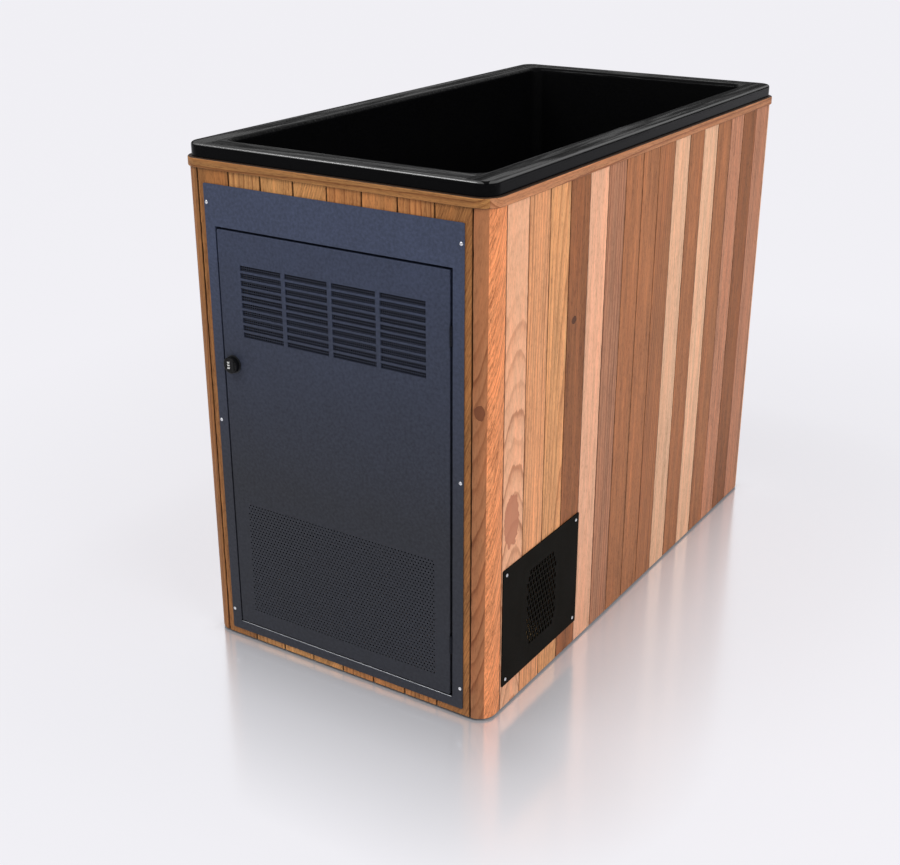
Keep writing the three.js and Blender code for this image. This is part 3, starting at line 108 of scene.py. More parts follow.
class Wiring:
    """Lays nodes and links in one shader tree."""

    def __init__(self, tree: bpy.types.NodeTree) -> None:
        """Keep the tree that the nodes go into, and its shader where it has one."""
        self.tree, self.shader = tree, tree.nodes.get("Principled BSDF")

    def put(
        self, kind: str, feeds: Mapping[str | int, Feed] | None = None, **settings: object
    ) -> bpy.types.Node:
        """Add one node.

        Args:
            kind: Blender's name of the node type.
            feeds: Input name or index to a socket or a value.
            settings: Properties of the node.

        Returns:
            The new node.
        """
        node = self.tree.nodes.new(kind)
        for name, value in settings.items():
            setattr(node, name, value)
        for key, value in (feeds or {}).items():
            self.feed(node.inputs[key], value)
        return node

    def feed(self, socket: Socket, value: Feed) -> None:
        """Link a socket to another one, or set its value.

        Args:
            socket: The input to feed.
            value: An output socket, a number, a vector or a colour.
        """
        if isinstance(value, bpy.types.NodeSocket):
            self.tree.links.new(value, socket)
        elif socket.type == "RGBA" and len(value) == 3:
            socket.default_value = (*value, 1.0)
        else:
            socket.default_value = value

    def calc(self, operation: str, *values: Feed) -> Socket:
        """Work out one number from others by Blender's name of an operation."""
        return self.put("ShaderNodeMath", dict(enumerate(values)), operation=operation).outputs[0]

    def vector(self, operation: str, *values: Feed) -> Socket:
        """Work out one vector, length or product from vectors by Blender's name of an operation."""
        node = self.put("ShaderNodeVectorMath", dict(enumerate(values)), operation=operation)
        return node.outputs["Value" if operation in ("LENGTH", "DOT_PRODUCT") else "Vector"]

    def axes(self, vector: Socket) -> Sequence[Socket]:
        """The three parts of a vector."""
        return self.put("ShaderNodeSeparateXYZ", {0: vector}).outputs

    def kept(self, name: str, output: str = "Vector") -> Socket:
        """A vector or a colour that is kept on the mesh's corners."""
        return self.put("ShaderNodeAttribute", attribute_name=name).outputs[output]

    def spread(self, value: Feed, low: float, high: float) -> Socket:
        """Spread a share of 0 to 1 over the range from low to high."""
        return self.calc("MULTIPLY_ADD", value, high - low, low)

    def noise(self, place: Socket, scales: Point, detail: float = 2.0) -> Socket:
        """Cloudy noise of 0 to 1, stretched along the axes.

        Args:
            place: Where, in millimetres.
            scales: Size of one cloud along each axis, in millimetres.
            detail: How many finer layers it has.

        Returns:
            The noise.
        """
        scaled = self.vector("MULTIPLY", place, tuple(1 / size for size in scales))
        feeds = {"Vector": scaled, "Scale": 1.0, "Detail": detail}
        return self.put("ShaderNodeTexNoise", feeds).outputs["Fac"]

    def swing(self, place: Socket, scales: Point, detail: float) -> Socket:
        """Cloudy noise that swings about 0."""
        return self.calc("SUBTRACT", self.noise(place, scales, detail), 0.5)

    def ramp(self, value: Socket, stops: Sequence[Flat]) -> Socket:
        """Read a share off a line through stops.

        Args:
            value: The share.
            stops: Position and level of each stop.

        Returns:
            The level.
        """
        node = self.put("ShaderNodeValToRGB", {0: value})
        elements = node.color_ramp.elements
        while len(elements) < len(stops):
            elements.new(0.5)
        for element, (position, level) in zip(elements, stops):
            element.position = position
            element.color = (level, level, level, 1.0)
        return node.outputs[0]

    def blend(self, share: Feed, first: Feed, second: Feed, mode: str = "MIX") -> Socket:
        """Mix two colours in one of Blender's ways; share is that of the second one."""
        feeds = {0: share, 6: first, 7: second}
        return self.put("ShaderNodeMix", feeds, data_type="RGBA", blend_type=mode).outputs[2]

    def dim(self, colour: Feed, level: Feed) -> Socket:
        """Scale a colour or a place by a level."""
        node = self.put("ShaderNodeVectorMath", {0: colour, "Scale": level}, operation="SCALE")
        return node.outputs[0]

    def either(self, share: Feed, first: Socket, second: Socket) -> Socket:
        """Mix two shaders; share is that of the second one."""
        return self.put("ShaderNodeMixShader", {0: share, 1: first, 2: second}).outputs[0]

    def place(self) -> Socket:
        """Where on the piece, in millimetres."""
        return self.dim(self.put("ShaderNodeTexCoord").outputs["Object"], 1 / MM)

    def effect(self, tree: bpy.types.NodeTree, feeds: Mapping[str, Feed]) -> bpy.types.Node:
        """Place a shared effect's node group with its input values."""
        return self.put("ShaderNodeGroup", feeds, node_tree=tree)

    def surface(self, name: str, value: Feed) -> None:
        """Feed one of the shader's inputs."""
        self.feed(self.shader.inputs[name], value)

    def bump(self, over: bpy.types.Node, height: Socket, depth: float) -> None:
        """Raise the surface under a node by a height of 0 to 1, where 1 is the depth in millimetres."""
        node = self.put("ShaderNodeBump", {"Height": height, "Distance": depth * MM, "Strength": 1.0})
        self.feed(over.inputs["Normal"], node.outputs["Normal"])


class Effects:
    """The effects that finishes share, each built once as a node group."""

    surface = {"Color": "Color", "Height": "Float", "Roughness": "Float"}

    @classmethod
    def start(
        cls, name: str, inputs: Mapping[str, str], outputs: Mapping[str, str] = surface
    ) -> tuple[Wiring, Mapping[str, Socket], Mapping[str, Socket]]:
        """Open a new node group.

        Args:
            name: The group's name.
            inputs: Input name to kind of socket.
            outputs: Output name to kind of socket.

        Returns:
            The group's wiring, its inputs and its outputs.
        """
        tree = bpy.data.node_groups.new(name, "ShaderNodeTree")
        for way, sockets in (("INPUT", inputs), ("OUTPUT", outputs)):
            for label, kind in sockets.items():
                tree.interface.new_socket(label, in_out=way, socket_type=f"NodeSocket{kind}")
        wiring = Wiring(tree)
        return wiring, wiring.put("NodeGroupInput").outputs, wiring.put("NodeGroupOutput").inputs

    @classmethod
    @cache
    def wood_grain(cls) -> bpy.types.NodeTree:
        """Growth rings, fibres and pores of a sawn board; Place is across, deep and along it.

        Returns:
            The node group.
        """
        numbers = dict.fromkeys(("Rings", "Fibre", "Spacing", "Sway"), "Float")
        inputs = {"Place": "Vector", "Tone": "Color", **numbers}
        wiring, given, result = cls.start("wood_grain", inputs)
        place = given["Place"]
        slow = wiring.swing(place, (80.0, 80.0, 380.0), 1.0)
        quick = wiring.swing(place, (16.0, 16.0, 70.0), 3.0)
        axes = wiring.axes(place)
        sway = wiring.calc("MULTIPLY_ADD", quick, 0.3, slow)
        across = wiring.calc("MULTIPLY_ADD", sway, given["Sway"], axes[0])
        deep = wiring.calc("MULTIPLY_ADD", quick, 5.0, axes[1])
        squares = wiring.calc("MULTIPLY_ADD", deep, deep, wiring.calc("MULTIPLY", across, across))
        years = wiring.calc("DIVIDE", wiring.calc("SQRT", squares), given["Spacing"])
        season = wiring.calc("FRACT", years)
        stops = ((0.0, 0.0), (0.35, 0.06), (0.68, 0.4), (0.82, 1.0), (0.93, 1.0), (1.0, 0.0))
        count = {"W": wiring.calc("FLOOR", years)}
        year = wiring.put("ShaderNodeTexWhiteNoise", count, noise_dimensions="1D").outputs["Value"]
        late = wiring.calc("MULTIPLY", wiring.ramp(season, stops), wiring.spread(year, 0.35, 1.0))
        late = wiring.calc("MULTIPLY", late, given["Rings"])

        fibre = wiring.noise(place, (2.4, 2.4, 38.0), 3.0)
        streak = wiring.noise(place, (8.0, 8.0, 190.0), 3.0)
        cloud = wiring.noise(place, (22.0, 22.0, 420.0), 3.0)
        pore = wiring.noise(place, (1.8, 1.8, 10.0), 2.0)
        pores = wiring.ramp(pore, ((0.0, 0.0), (0.53, 0.0), (0.62, 1.0)))
        dark = wiring.blend(1.0, given["Tone"], (0.52, 0.37, 0.28), "MULTIPLY")
        rosy = wiring.blend(1.0, given["Tone"], (1.0, 0.90, 0.85), "MULTIPLY")
        colour = wiring.blend(wiring.spread(cloud, -0.9, 1.9), given["Tone"], rosy)
        colour = wiring.blend(late, colour, dark)
        lines = wiring.calc("ADD", wiring.spread(fibre, -0.9, 1.1), wiring.spread(streak, -0.7, 0.8))
        lines = wiring.calc("ADD", lines, wiring.spread(cloud, -0.8, 0.9))
        lines = wiring.calc("MULTIPLY_ADD", pores, -0.5, lines)
        level = wiring.calc("MULTIPLY_ADD", lines, given["Fibre"], 1.04)
        warm = wiring.blend(1.0, colour, (1.0, 0.76, 0.58), "MULTIPLY")
        colour = wiring.blend(wiring.calc("MULTIPLY_ADD", level, -1.3, 1.3), colour, warm)
        wiring.feed(result["Color"], wiring.dim(colour, level))
        height = wiring.calc("MULTIPLY_ADD", fibre, 0.6, wiring.calc("MULTIPLY", late, 0.5))
        wiring.feed(result["Height"], wiring.calc("MULTIPLY_ADD", pores, -0.7, height))
        rough = wiring.spread(fibre, 0.5, 0.7)
        wiring.feed(result["Roughness"], wiring.calc("MULTIPLY_ADD", late, -0.08, rough))
        return wiring.tree

    @classmethod
    @cache
    def knot(cls) -> bpy.types.NodeTree:
        """A ragged dark patch where a branch grew; Knot is across and up from its middle, and its depth.

        Returns:
            The node group.
        """
        inputs = {"Place": "Vector", "Knot": "Vector", "Tone": "Color", "Grain": "Color"}
        wiring, given, result = cls.start("knot", inputs, {"Color": "Color"})
        ragged = wiring.swing(given["Place"], (9.0, 9.0, 14.0), 3.0)
        length = wiring.vector("LENGTH", wiring.vector("MULTIPLY", given["Knot"], LEVEL))
        depth = wiring.axes(given["Knot"])[2]
        reach = wiring.calc("MULTIPLY", wiring.calc("MULTIPLY_ADD", ragged, 0.7, length), 0.5)
        patch = wiring.ramp(reach, ((0.0, 0.85), (0.42, 0.85), (0.475, 1.0), (0.51, 0.0)))
        skin = wiring.blend(1.0, given["Tone"], (0.68, 0.48, 0.44), "MULTIPLY")
        dark = wiring.blend(depth, skin, (0.02, 0.01, 0.006))
        wiring.feed(result["Color"], wiring.blend(patch, given["Grain"], dark))
        return wiring.tree

    @classmethod
    @cache
    def speckle(cls) -> bpy.types.NodeTree:
        """Fine grain of a baked coat or a moulded skin, with broad mottling.

        Returns:
            The node group.
        """
        inputs = {"Place": "Vector", "Tone": "Color", "Mottle": "Float", "Roughness": "Float"}
        wiring, given, result = cls.start("speckle", inputs)
        place = given["Place"]
        fine = wiring.noise(place, (0.9, 0.9, 0.9), 2.0)
        soft = wiring.noise(place, (6.0, 6.0, 6.0), 2.0)
        broad = wiring.noise(place, (55.0, 55.0, 90.0), 3.0)
        blot = wiring.calc("ADD", wiring.spread(broad, -0.5, 0.5), wiring.spread(soft, -1.5, 1.5))
        level = wiring.calc("MULTIPLY_ADD", blot, given["Mottle"], wiring.spread(fine, 0.86, 1.14))
        wiring.feed(result["Color"], wiring.dim(given["Tone"], level))
        wiring.feed(result["Height"], fine)
        rough = wiring.calc("MULTIPLY_ADD", wiring.calc("SUBTRACT", broad, 0.5), 0.22, given["Roughness"])
        wiring.feed(result["Roughness"], wiring.calc("MULTIPLY_ADD", fine, 0.04, rough))
        return wiring.tree

    @classmethod
    @cache
    def brushing(cls) -> bpy.types.NodeTree:
        """Fine lines that a brush leaves on bare metal.

        Returns:
            The node group.
        """
        inputs = {"Place": "Vector", "Tone": "Color", "Roughness": "Float"}
        wiring, given, result = cls.start("brushing", inputs)
        lines = wiring.noise(given["Place"], (24.0, 24.0, 0.35), 2.0)
        stain = wiring.noise(given["Place"], (22.0, 22.0, 22.0), 3.0)
        wiring.feed(result["Color"], wiring.dim(given["Tone"], wiring.spread(stain, 0.78, 1.16)))
        wiring.feed(result["Height"], lines)
        rough = wiring.calc("MULTIPLY_ADD", lines, 0.14, given["Roughness"])
        wiring.feed(result["Roughness"], wiring.calc("MULTIPLY_ADD", stain, 0.1, rough))
        return wiring.tree


# Finishes


class Axis(Enum):
    """A direction, as the numbers of the two axes across it and of its own."""

    X = (1, 2, 0)
    Y = (0, 2, 1)
    Z = (0, 1, 2)


@dataclass(frozen=True)
class Finish:
    """A surface finish: its name, the record's slot it belongs to, and its tone."""

    name: str
    slot: str
    tone: Colour

    def material(self) -> bpy.types.Material:
        """The finish's material, built at first use.

        Returns:
            The material.
        """
        made = bpy.data.materials.get(self.name)
        if made is None:
            made = bpy.data.materials.new(self.name)
            made.use_nodes = True
            made.diffuse_color = (*self.tone, 1.0)
            self.dress(Wiring(made.node_tree))
        return made

    def dress(self, wiring: Wiring) -> None:
        """Lay the finish's nodes with the material's wiring."""
        raise NotImplementedError

    def join(self, wiring: Wiring, effect: bpy.types.Node, depth: float) -> None:
        """Feed a shared effect's colour, roughness and height to the shader.

        Args:
            wiring: The material's wiring.
            effect: The effect's group node.
            depth: Depth of its relief, in millimetres.
        """
        wiring.surface("Base Color", effect.outputs["Color"])
        wiring.surface("Roughness", effect.outputs["Roughness"])
        wiring.bump(wiring.shader, effect.outputs["Height"], depth)


@dataclass(frozen=True)
class BoardFinish(Finish):
    """Sealed boards whose tone and sawing are kept on their corners."""

    sway: float = 16.0
    # Faces that face up or down take this tone: end grain, darkened further as painted shade on cut ends lit
    # through the openings.
    ends_painted_shade_tone: Colour = painted(52, 36, 26)
    end_slope: float = 0.7
    relief: float = 0.08
    specular: float = 0.25

    def dress(self, wiring: Wiring) -> None:
        """Lay rings, fibres, pores and a knot from each board's own tone and sawing; darken faces that face
        up or down as end grain and painted shade.

        Args:
            wiring: The material's wiring.
        """
        wiring.surface("Specular IOR Level", self.specular)
        shared = {"Place": wiring.kept("grain_place"), "Tone": wiring.kept("board_tone", "Color")}
        rings, fibre, spacing = wiring.axes(wiring.kept("grain_figure"))
        figure = {"Rings": rings, "Fibre": fibre, "Spacing": spacing, "Sway": self.sway}
        grain = wiring.effect(Effects.wood_grain(), shared | figure)
        self.join(wiring, grain, self.relief)
        patch = {"Knot": wiring.kept("knot_place"), "Grain": grain.outputs["Color"]}
        colour = wiring.effect(Effects.knot(), shared | patch).outputs["Color"]
        slope = wiring.axes(wiring.put("ShaderNodeNewGeometry").outputs["Normal"])[2]
        end_grain_and_shade = wiring.calc("GREATER_THAN", wiring.calc("ABSOLUTE", slope), self.end_slope)
        wiring.surface("Base Color", wiring.blend(end_grain_and_shade, colour, self.ends_painted_shade_tone))


@dataclass(frozen=True)
class TimberFinish(Finish):
    """Plain timber that shows its fibres along one axis."""

    along: Axis = Axis.Z
    relief: float = 0.3

    def dress(self, wiring: Wiring) -> None:
        """Lay the grain along the timber's length.

        Args:
            wiring: The material's wiring.
        """
        axes = wiring.axes(wiring.place())
        turned = {i: axes[axis] for i, axis in enumerate(self.along.value)}
        place = wiring.put("ShaderNodeCombineXYZ", turned).outputs[0]
        figure = {"Rings": 0.5, "Fibre": 0.4, "Spacing": 6.5, "Sway": 22.0}
        grain = wiring.effect(Effects.wood_grain(), {"Place": place, "Tone": self.tone, **figure})
        self.join(wiring, grain, self.relief)


@dataclass(frozen=True)
class CoatFinish(Finish):
    """Baked coat or moulded skin with a fine grain."""

    roughness: float = 0.5
    mottle: float = 0.25
    relief: float = 0.05
    specular: float = 0.5

    def paint(self, wiring: Wiring) -> Colour | Socket:
        """The coat's tone."""
        return self.tone

    def dress(self, wiring: Wiring) -> None:
        """Lay the fine grain and the broad mottling.

        Args:
            wiring: The material's wiring.
        """
        wiring.surface("Specular IOR Level", self.specular)
        feeds = {
            "Place": wiring.place(),
            "Tone": self.paint(wiring),
            "Mottle": self.mottle,
            "Roughness": self.roughness,
        }
        self.join(wiring, wiring.effect(Effects.speckle(), feeds), self.relief)


@dataclass(frozen=True)
class SheetFinish(CoatFinish):
    """Baked coat on sheet steel, painted greyer and darker towards the floor as painted shade and sheen."""

    # Tone at the foot: painted shade and sheen, greyer and darker than the top.
    shaded_foot_tone: Colour = painted(52, 54, 62)
    fade: Flat = (380.0, 860.0)

    def paint(self, wiring: Wiring) -> Colour | Socket:
        """The coat's tone, from the foot's painted shade and sheen to the top's.

        Args:
            wiring: The material's wiring.

        Returns:
            The tone.
        """
        height = wiring.axes(wiring.place())[2]
        low, high = self.fade
        share = wiring.calc("DIVIDE", wiring.calc("SUBTRACT", height, low), high - low)
        return wiring.blend(wiring.ramp(share, ((0.0, 0.0), (1.0, 1.0))), self.shaded_foot_tone, self.tone)


@dataclass(frozen=True)
class BasinFinish(CoatFinish):
    """Black moulded shell: a satin skin with long soft waves on its rim and glossy rounded edges."""

    ripple: float = 3.5
    edge_gloss: float = 0.5
    streak_gloss: float = 0.6
    inner_gloss: float = 0.12
    coat_roughness: float = 0.25
    coat_ior: float = 2.4
    level_slope: float = 0.98
    rim_side: float = 283.0
    rim_foot: float = 1037.0
    brow: Flat = (326.0, 638.0)
    wave: Point = (15.0, 240.0, 40.0)

    def dress(self, wiring: Wiring) -> None:
        """Lay the fine grain, then waves under it that also change the sheen, and gloss on the edges.

        Args:
            wiring: The material's wiring.
        """
        super().dress(wiring)
        place = wiring.place()
        axes = wiring.axes(place)
        far_x, far_y = (wiring.calc("ABSOLUTE", axes[i]) for i in (0, 1))
        on_side = wiring.calc("GREATER_THAN", far_x, self.rim_side)
        on_rim = wiring.calc("GREATER_THAN", axes[2], self.rim_foot)
        narrow, long, high = self.wave
        lengthwise = wiring.noise(place, (narrow, long, high), 3.0)
        crosswise = wiring.noise(place, (long, narrow, high), 3.0)
        marks = wiring.put("ShaderNodeMix", {0: on_side, 2: crosswise, 3: lengthwise}).outputs[0]
        marks = wiring.put("ShaderNodeMix", {0: on_rim, 2: 0.5, 3: marks}).outputs[0]
        wiring.bump(wiring.shader.inputs["Normal"].links[0].from_node, marks, self.ripple)
        sheen = wiring.ramp(marks, ((0.3, 0.1), (0.5, self.roughness), (0.7, 0.35)))
        facing = wiring.put("ShaderNodeNewGeometry").outputs["Normal"]
        slope = wiring.axes(facing)[2]
        round_edge = wiring.ramp(slope, ((0.0, 0.0), (0.25, 0.0), (0.45, 1.0), (0.85, 1.0), (0.97, 0.0)))
        past = [wiring.calc("GREATER_THAN", *pair) for pair in zip((far_x, far_y), self.brow)]
        edge = wiring.calc("MULTIPLY", round_edge, wiring.calc("MAXIMUM", *past))
        flat = wiring.calc("GREATER_THAN", slope, self.level_slope)
        streak = wiring.ramp(marks, ((0.0, 0.0), (0.5, 0.0), (0.64, self.streak_gloss)))
        streak = wiring.calc("MULTIPLY", streak, wiring.calc("MULTIPLY", flat, on_rim))
        outward = wiring.vector("DOT_PRODUCT", facing, wiring.vector("MULTIPLY", place, LEVEL))
        inside = wiring.calc("SUBTRACT", wiring.calc("LESS_THAN", outward, 1.0), on_rim)
        inner = wiring.calc("MULTIPLY", inside, self.inner_gloss)
        gloss = wiring.calc("MULTIPLY_ADD", edge, self.edge_gloss, wiring.calc("MAXIMUM", streak, inner))
        wiring.surface("Coat Weight", gloss)
        wiring.surface("Coat Roughness", self.coat_roughness)
        wiring.surface("Coat IOR", self.coat_ior)
        wiring.surface("Roughness", sheen)


@dataclass(frozen=True)
class MetalFinish(Finish):
    """Bare metal with brush lines."""

    roughness: float = 0.3
    relief: float = 0.02

    def dress(self, wiring: Wiring) -> None:
        """Lay the brush lines on bare metal.

        Args:
            wiring: The material's wiring.
        """
        wiring.surface("Metallic", 1.0)
        feeds = {"Place": wiring.place(), "Tone": self.tone, "Roughness": self.roughness}
        self.join(wiring, wiring.effect(Effects.brushing(), feeds), self.relief)


@dataclass(frozen=True)
class FoamFinish(Finish):
    """Closed-cell foam board: small cells with paler walls."""

    roughness: float = 0.9
    cells: float = 0.45
    relief: float = 0.6

    def dress(self, wiring: Wiring) -> None:
        """Lay the foam's cells.

        Args:
            wiring: The material's wiring.
        """
        wiring.surface("Roughness", self.roughness)
        feeds = {"Vector": wiring.place(), "Scale": self.cells}
        cell = wiring.put("ShaderNodeTexVoronoi", feeds).outputs["Distance"]
        colour = wiring.dim(self.tone, wiring.spread(cell, 0.8, 1.12))
        wiring.surface("Base Color", colour)
        wiring.bump(wiring.shader, cell, self.relief)


# Drafting: corners and faces of a piece, in millimetres


class Ends(Enum):
    """How the ends of a loft are left."""

    CLOSED = "closed"
    LOOPED = "looped"
    OPEN = "open"


class Joint(Enum):
    """How two closed drafts are put together."""

    UNION = "UNION"
    CUT = "DIFFERENCE"


def rounded_loop(low: Flat, high: Flat, radius: float, steps: int) -> list[Flat]:
    """Corners of a rectangle with rounded corners, counter-clockwise.

    Args:
        low: Lowest corner.
        high: Highest corner.
        radius: Corner radius.
        steps: Steps in each corner.

    Returns:
        The loop.
    """
    loop = []
    centres = ((high[0], high[1]), (low[0], high[1]), (low[0], low[1]), (high[0], low[1]))
    for turn, (x, y) in enumerate(centres):
        inward = (-radius if x == high[0] else radius, -radius if y == high[1] else radius)
        for i in range(steps + 1):
            angle = math.pi / 2 * (turn + i / steps)
            spot = (x + inward[0] + radius * math.cos(angle), y + inward[1] + radius * math.sin(angle))
            loop.append(spot)
    return loop


def square_loop(low: Flat, high: Flat) -> list[Flat]:
    """Corners of a rectangle, counter-clockwise from its lowest one."""
    return [low, (high[0], low[1]), high, (low[0], high[1])]


def round_loop(x: float, y: float, radius: float, steps: int) -> list[Flat]:
    """Corners of a circle about x and y, counter-clockwise."""
    angles = (2 * math.pi * i / steps for i in range(steps))
    return [(x + radius * math.cos(a), y + radius * math.sin(a)) for a in angles]


def quarter(radius: float, steps: int) -> list[Flat]:
    """How far in and how far up each step of a quarter round is that starts flat."""
    angles = [math.pi / 2 * i / steps for i in range(steps + 1)]
    return [(radius * (1 - math.sin(a)), radius * (1 - math.cos(a))) for a in angles]


def on_front(x: float, depth: float, z: float) -> Point:
    """A spot on the front: across, behind the boards' face, up."""
    return (x, depth - BACK_Y, z)


def linked(name: str, data: bpy.types.ID) -> bpy.types.Object:
    """Put a new object into the scene.

    Args:
        name: Its name.
        data: Its mesh, lamp or camera.

    Returns:
        The object.
    """
    made = bpy.data.objects.new(name, data)
    bpy.context.scene.collection.objects.link(made)
    return made


@dataclass
class Draft:
    """Corners and faces of one piece; tones, grain places, figures and knots are kept for boards."""

    corners: list[Point] = field(default_factory=list)
    faces: list[tuple[int, ...]] = field(default_factory=list)
    tones: list[Tint] = field(default_factory=list)
    places: list[Point] = field(default_factory=list)
    figures: list[Point] = field(default_factory=list)
    knots: list[Point] = field(default_factory=list)

    def add(self, corners: Sequence[Point], faces: Sequence[Sequence[int]]) -> "Draft":
        """Add corners, and faces between them.

        Args:
            corners: New corners.
            faces: Faces as indices into the new corners.

        Returns:
            This draft.
        """
        start = len(self.corners)
        self.corners += corners
        self.faces += [tuple(start + i for i in face) for face in faces]
        return self

    def loft(self, rings: Sequence[Sequence[Point]], ends: Ends = Ends.CLOSED) -> "Draft":
        """Join rings of the same number of corners.

        Args:
            rings: The rings in order.
            ends: How the first and the last ring are left.

        Returns:
            This draft.
        """
        count, levels = len(rings[0]), len(rings)
        faces = []
        for level in range(levels if ends is Ends.LOOPED else levels - 1):
            near, far = level * count, (level + 1) % levels * count
            for i in range(count):
                j = (i + 1) % count
                faces.append((near + i, near + j, far + j, far + i))
        if ends is Ends.CLOSED:
            faces += [tuple(reversed(range(count))), tuple(range((levels - 1) * count, levels * count))]
        return self.add([corner for ring in rings for corner in ring], faces)

    def block(self, low: Point, high: Point) -> "Draft":
        """Add a block between two corners."""
        outline = square_loop(low[:2], high[:2])
        return self.loft([[(x, y, z) for x, y in outline] for z in (low[2], high[2])])

    def turn(
        self,
        profile: Sequence[Flat],
        middle: Point,
        axis: Axis,
        steps: int = 48,
        ends: Ends = Ends.CLOSED,
    ) -> "Draft":
        """Turn a profile about an axis.

        Args:
            profile: Radius and height of each step.
            middle: Where height 0 of the axis is.
            axis: Direction of the axis.
            steps: Facets round the axis.
            ends: Looped where the profile is a closed band round a bore.

        Returns:
            This draft.
        """
        first, second, along = axis.value
        rings = []
        for radius, height in profile:
            ring = []
            for x, y in round_loop(0.0, 0.0, radius, steps):
                corner = list(middle)
                corner[first] += x
                corner[second] += y
                corner[along] += height
                ring.append(tuple(corner))
            rings.append(ring)
        return self.loft(rings, ends)

    def plate(
        self,
        outline: Sequence[Flat],
        holes: Sequence[Sequence[Flat]],
        lay: Lay,
        near: float,
        far: float,
        edged: bool = True,
    ) -> "Draft":
        """Add a flat plate with holes.

        Args:
            outline: Its outline.
            holes: Outlines of its holes.
            lay: Turns (across, depth, up) into a corner.
            near: Depth of its near face.
            far: Depth of its far face.
            edged: False leaves its outer edge open.

        Returns:
            This draft.
        """
        loops = [list(outline), *[list(hole) for hole in holes]]
        spots, edges, areas = [], [], []
        for loop in loops:
            start, count = len(spots), len(loop)
            spots += [Vector(spot) for spot in loop]
            edges += [(start + i, start + (i + 1) % count) for i in range(count)]
            areas.append(list(range(start, start + count)))
        corners, _, found, given, _, inside = delaunay_2d_cdt(spots, [], areas, 1, 1e-5)
        faces = [face for face, lies_in in zip(found, inside) if list(lies_in) == [0]]
        where = {old: new for new, olds in enumerate(given) for old in olds}
        total = len(corners)
        both = [lay(c.x, depth, c.y) for depth in (near, far) for c in corners]
        shown = [tuple(face) for face in faces] + [tuple(total + i for i in reversed(face)) for face in faces]
        for a, b in edges if edged else edges[len(outline):]:
            shown.append((where[b], where[a], total + where[a], total + where[b]))
        return self.add(both, shown)

    def tube(
        self, path: Sequence[Point], radius: float, bend: float, steps: int = 28, bend_steps: int = 12
    ) -> "Draft":
        """Add a round bar along straight runs with round bends.

        Args:
            path: Ends and corners of the runs.
            radius: Radius of the bar.
            bend: Radius of the bends' middle line.
            steps: Facets round the bar.
            bend_steps: Steps in each bend.

        Returns:
            This draft.
        """
        spots = [Vector(p) for p in path]
        line: list[tuple[Vector, Vector]] = [(spots[0], (spots[1] - spots[0]).normalized())]
        for before, corner, after in zip(spots, spots[1:], spots[2:]):
            into, out = (corner - before).normalized(), (after - corner).normalized()
            reach = min(bend, (corner - before).length / 2, (after - corner).length / 2)
            centre = corner - into * reach + out * reach
            for i in range(bend_steps + 1):
                angle = math.pi / 2 * i / bend_steps
                spot = centre - out * reach * math.cos(angle) + into * reach * math.sin(angle)
                line.append((spot, into * math.cos(angle) + out * math.sin(angle)))
        line.append((spots[-1], (spots[-1] - spots[-2]).normalized()))
        side = line[0][1].orthogonal().normalized()
        rings = []
        for spot, heading in line:
            side = (side - heading * side.dot(heading)).normalized()
            other = heading.cross(side)
            loop = round_loop(0.0, 0.0, radius, steps)
            rings.append([tuple(spot + side * x + other * y) for x, y in loop])
        return self.loft(rings)

    def mesh(
        self, name: str, shift: float = 0.0, scale: float = 1.0, weld: float = 0.0, flatten: bool = False
    ) -> bpy.types.Mesh:
        """Make a mesh of the draft, with all faces turned outwards.

        Args:
            name: The mesh's name.
            shift: How far it moves along Y, in millimetres.
            scale: Size of a millimetre.
            weld: Corners nearer than this become one, in millimetres.
            flatten: True makes one face of the faces that lie in one plane.

        Returns:
            The mesh.
        """
        mesh = bpy.data.meshes.new(name)
        corners = [(x * scale, (y + shift) * scale, z * scale) for x, y, z in self.corners]
        mesh.from_pydata(corners, [], self.faces)
        if self.tones:
            tone = mesh.attributes.new("board_tone", "FLOAT_COLOR", "POINT")
            tone.data.foreach_set("color", [level for tint in self.tones for level in tint])
            marks = {"grain_place": self.places, "grain_figure": self.figures, "knot_place": self.knots}
            for label, spots in marks.items():
                kept = mesh.attributes.new(label, "FLOAT_VECTOR", "POINT")
                kept.data.foreach_set("vector", [level for spot in spots for level in spot])
        bm = bmesh.new()
        bm.from_mesh(mesh)
        if weld:
            bmesh.ops.remove_doubles(bm, verts=bm.verts, dist=weld * scale)
        if flatten:
            bmesh.ops.dissolve_limit(bm, angle_limit=math.radians(0.5), verts=bm.verts, edges=bm.edges)
        bmesh.ops.recalc_face_normals(bm, faces=bm.faces)
        bm.to_mesh(mesh)
        bm.free()
        return mesh

    def with_others(self, how: Joint, *others: "Draft") -> "Draft":
        """Join closed drafts to this one, or cut them out of it.

        Args:
            how: Join or cut.
            others: The other drafts.

        Returns:
            A new draft.
        """
        base = linked("base", self.mesh("base"))
        tools = [linked("tool", other.mesh("tool")) for other in others]
        for tool in tools:
            step = base.modifiers.new("step", "BOOLEAN")
            step.operation, step.solver, step.object = how.value, "MANIFOLD", tool
        seen = base.evaluated_get(bpy.context.evaluated_depsgraph_get())
        mesh = seen.to_mesh()
        made = Draft([tuple(v.co) for v in mesh.vertices], [tuple(p.vertices) for p in mesh.polygons])
        seen.to_mesh_clear()
        for item in (base, *tools):
            mesh = item.data
            bpy.data.objects.remove(item)
            bpy.data.meshes.remove(mesh)
        return made


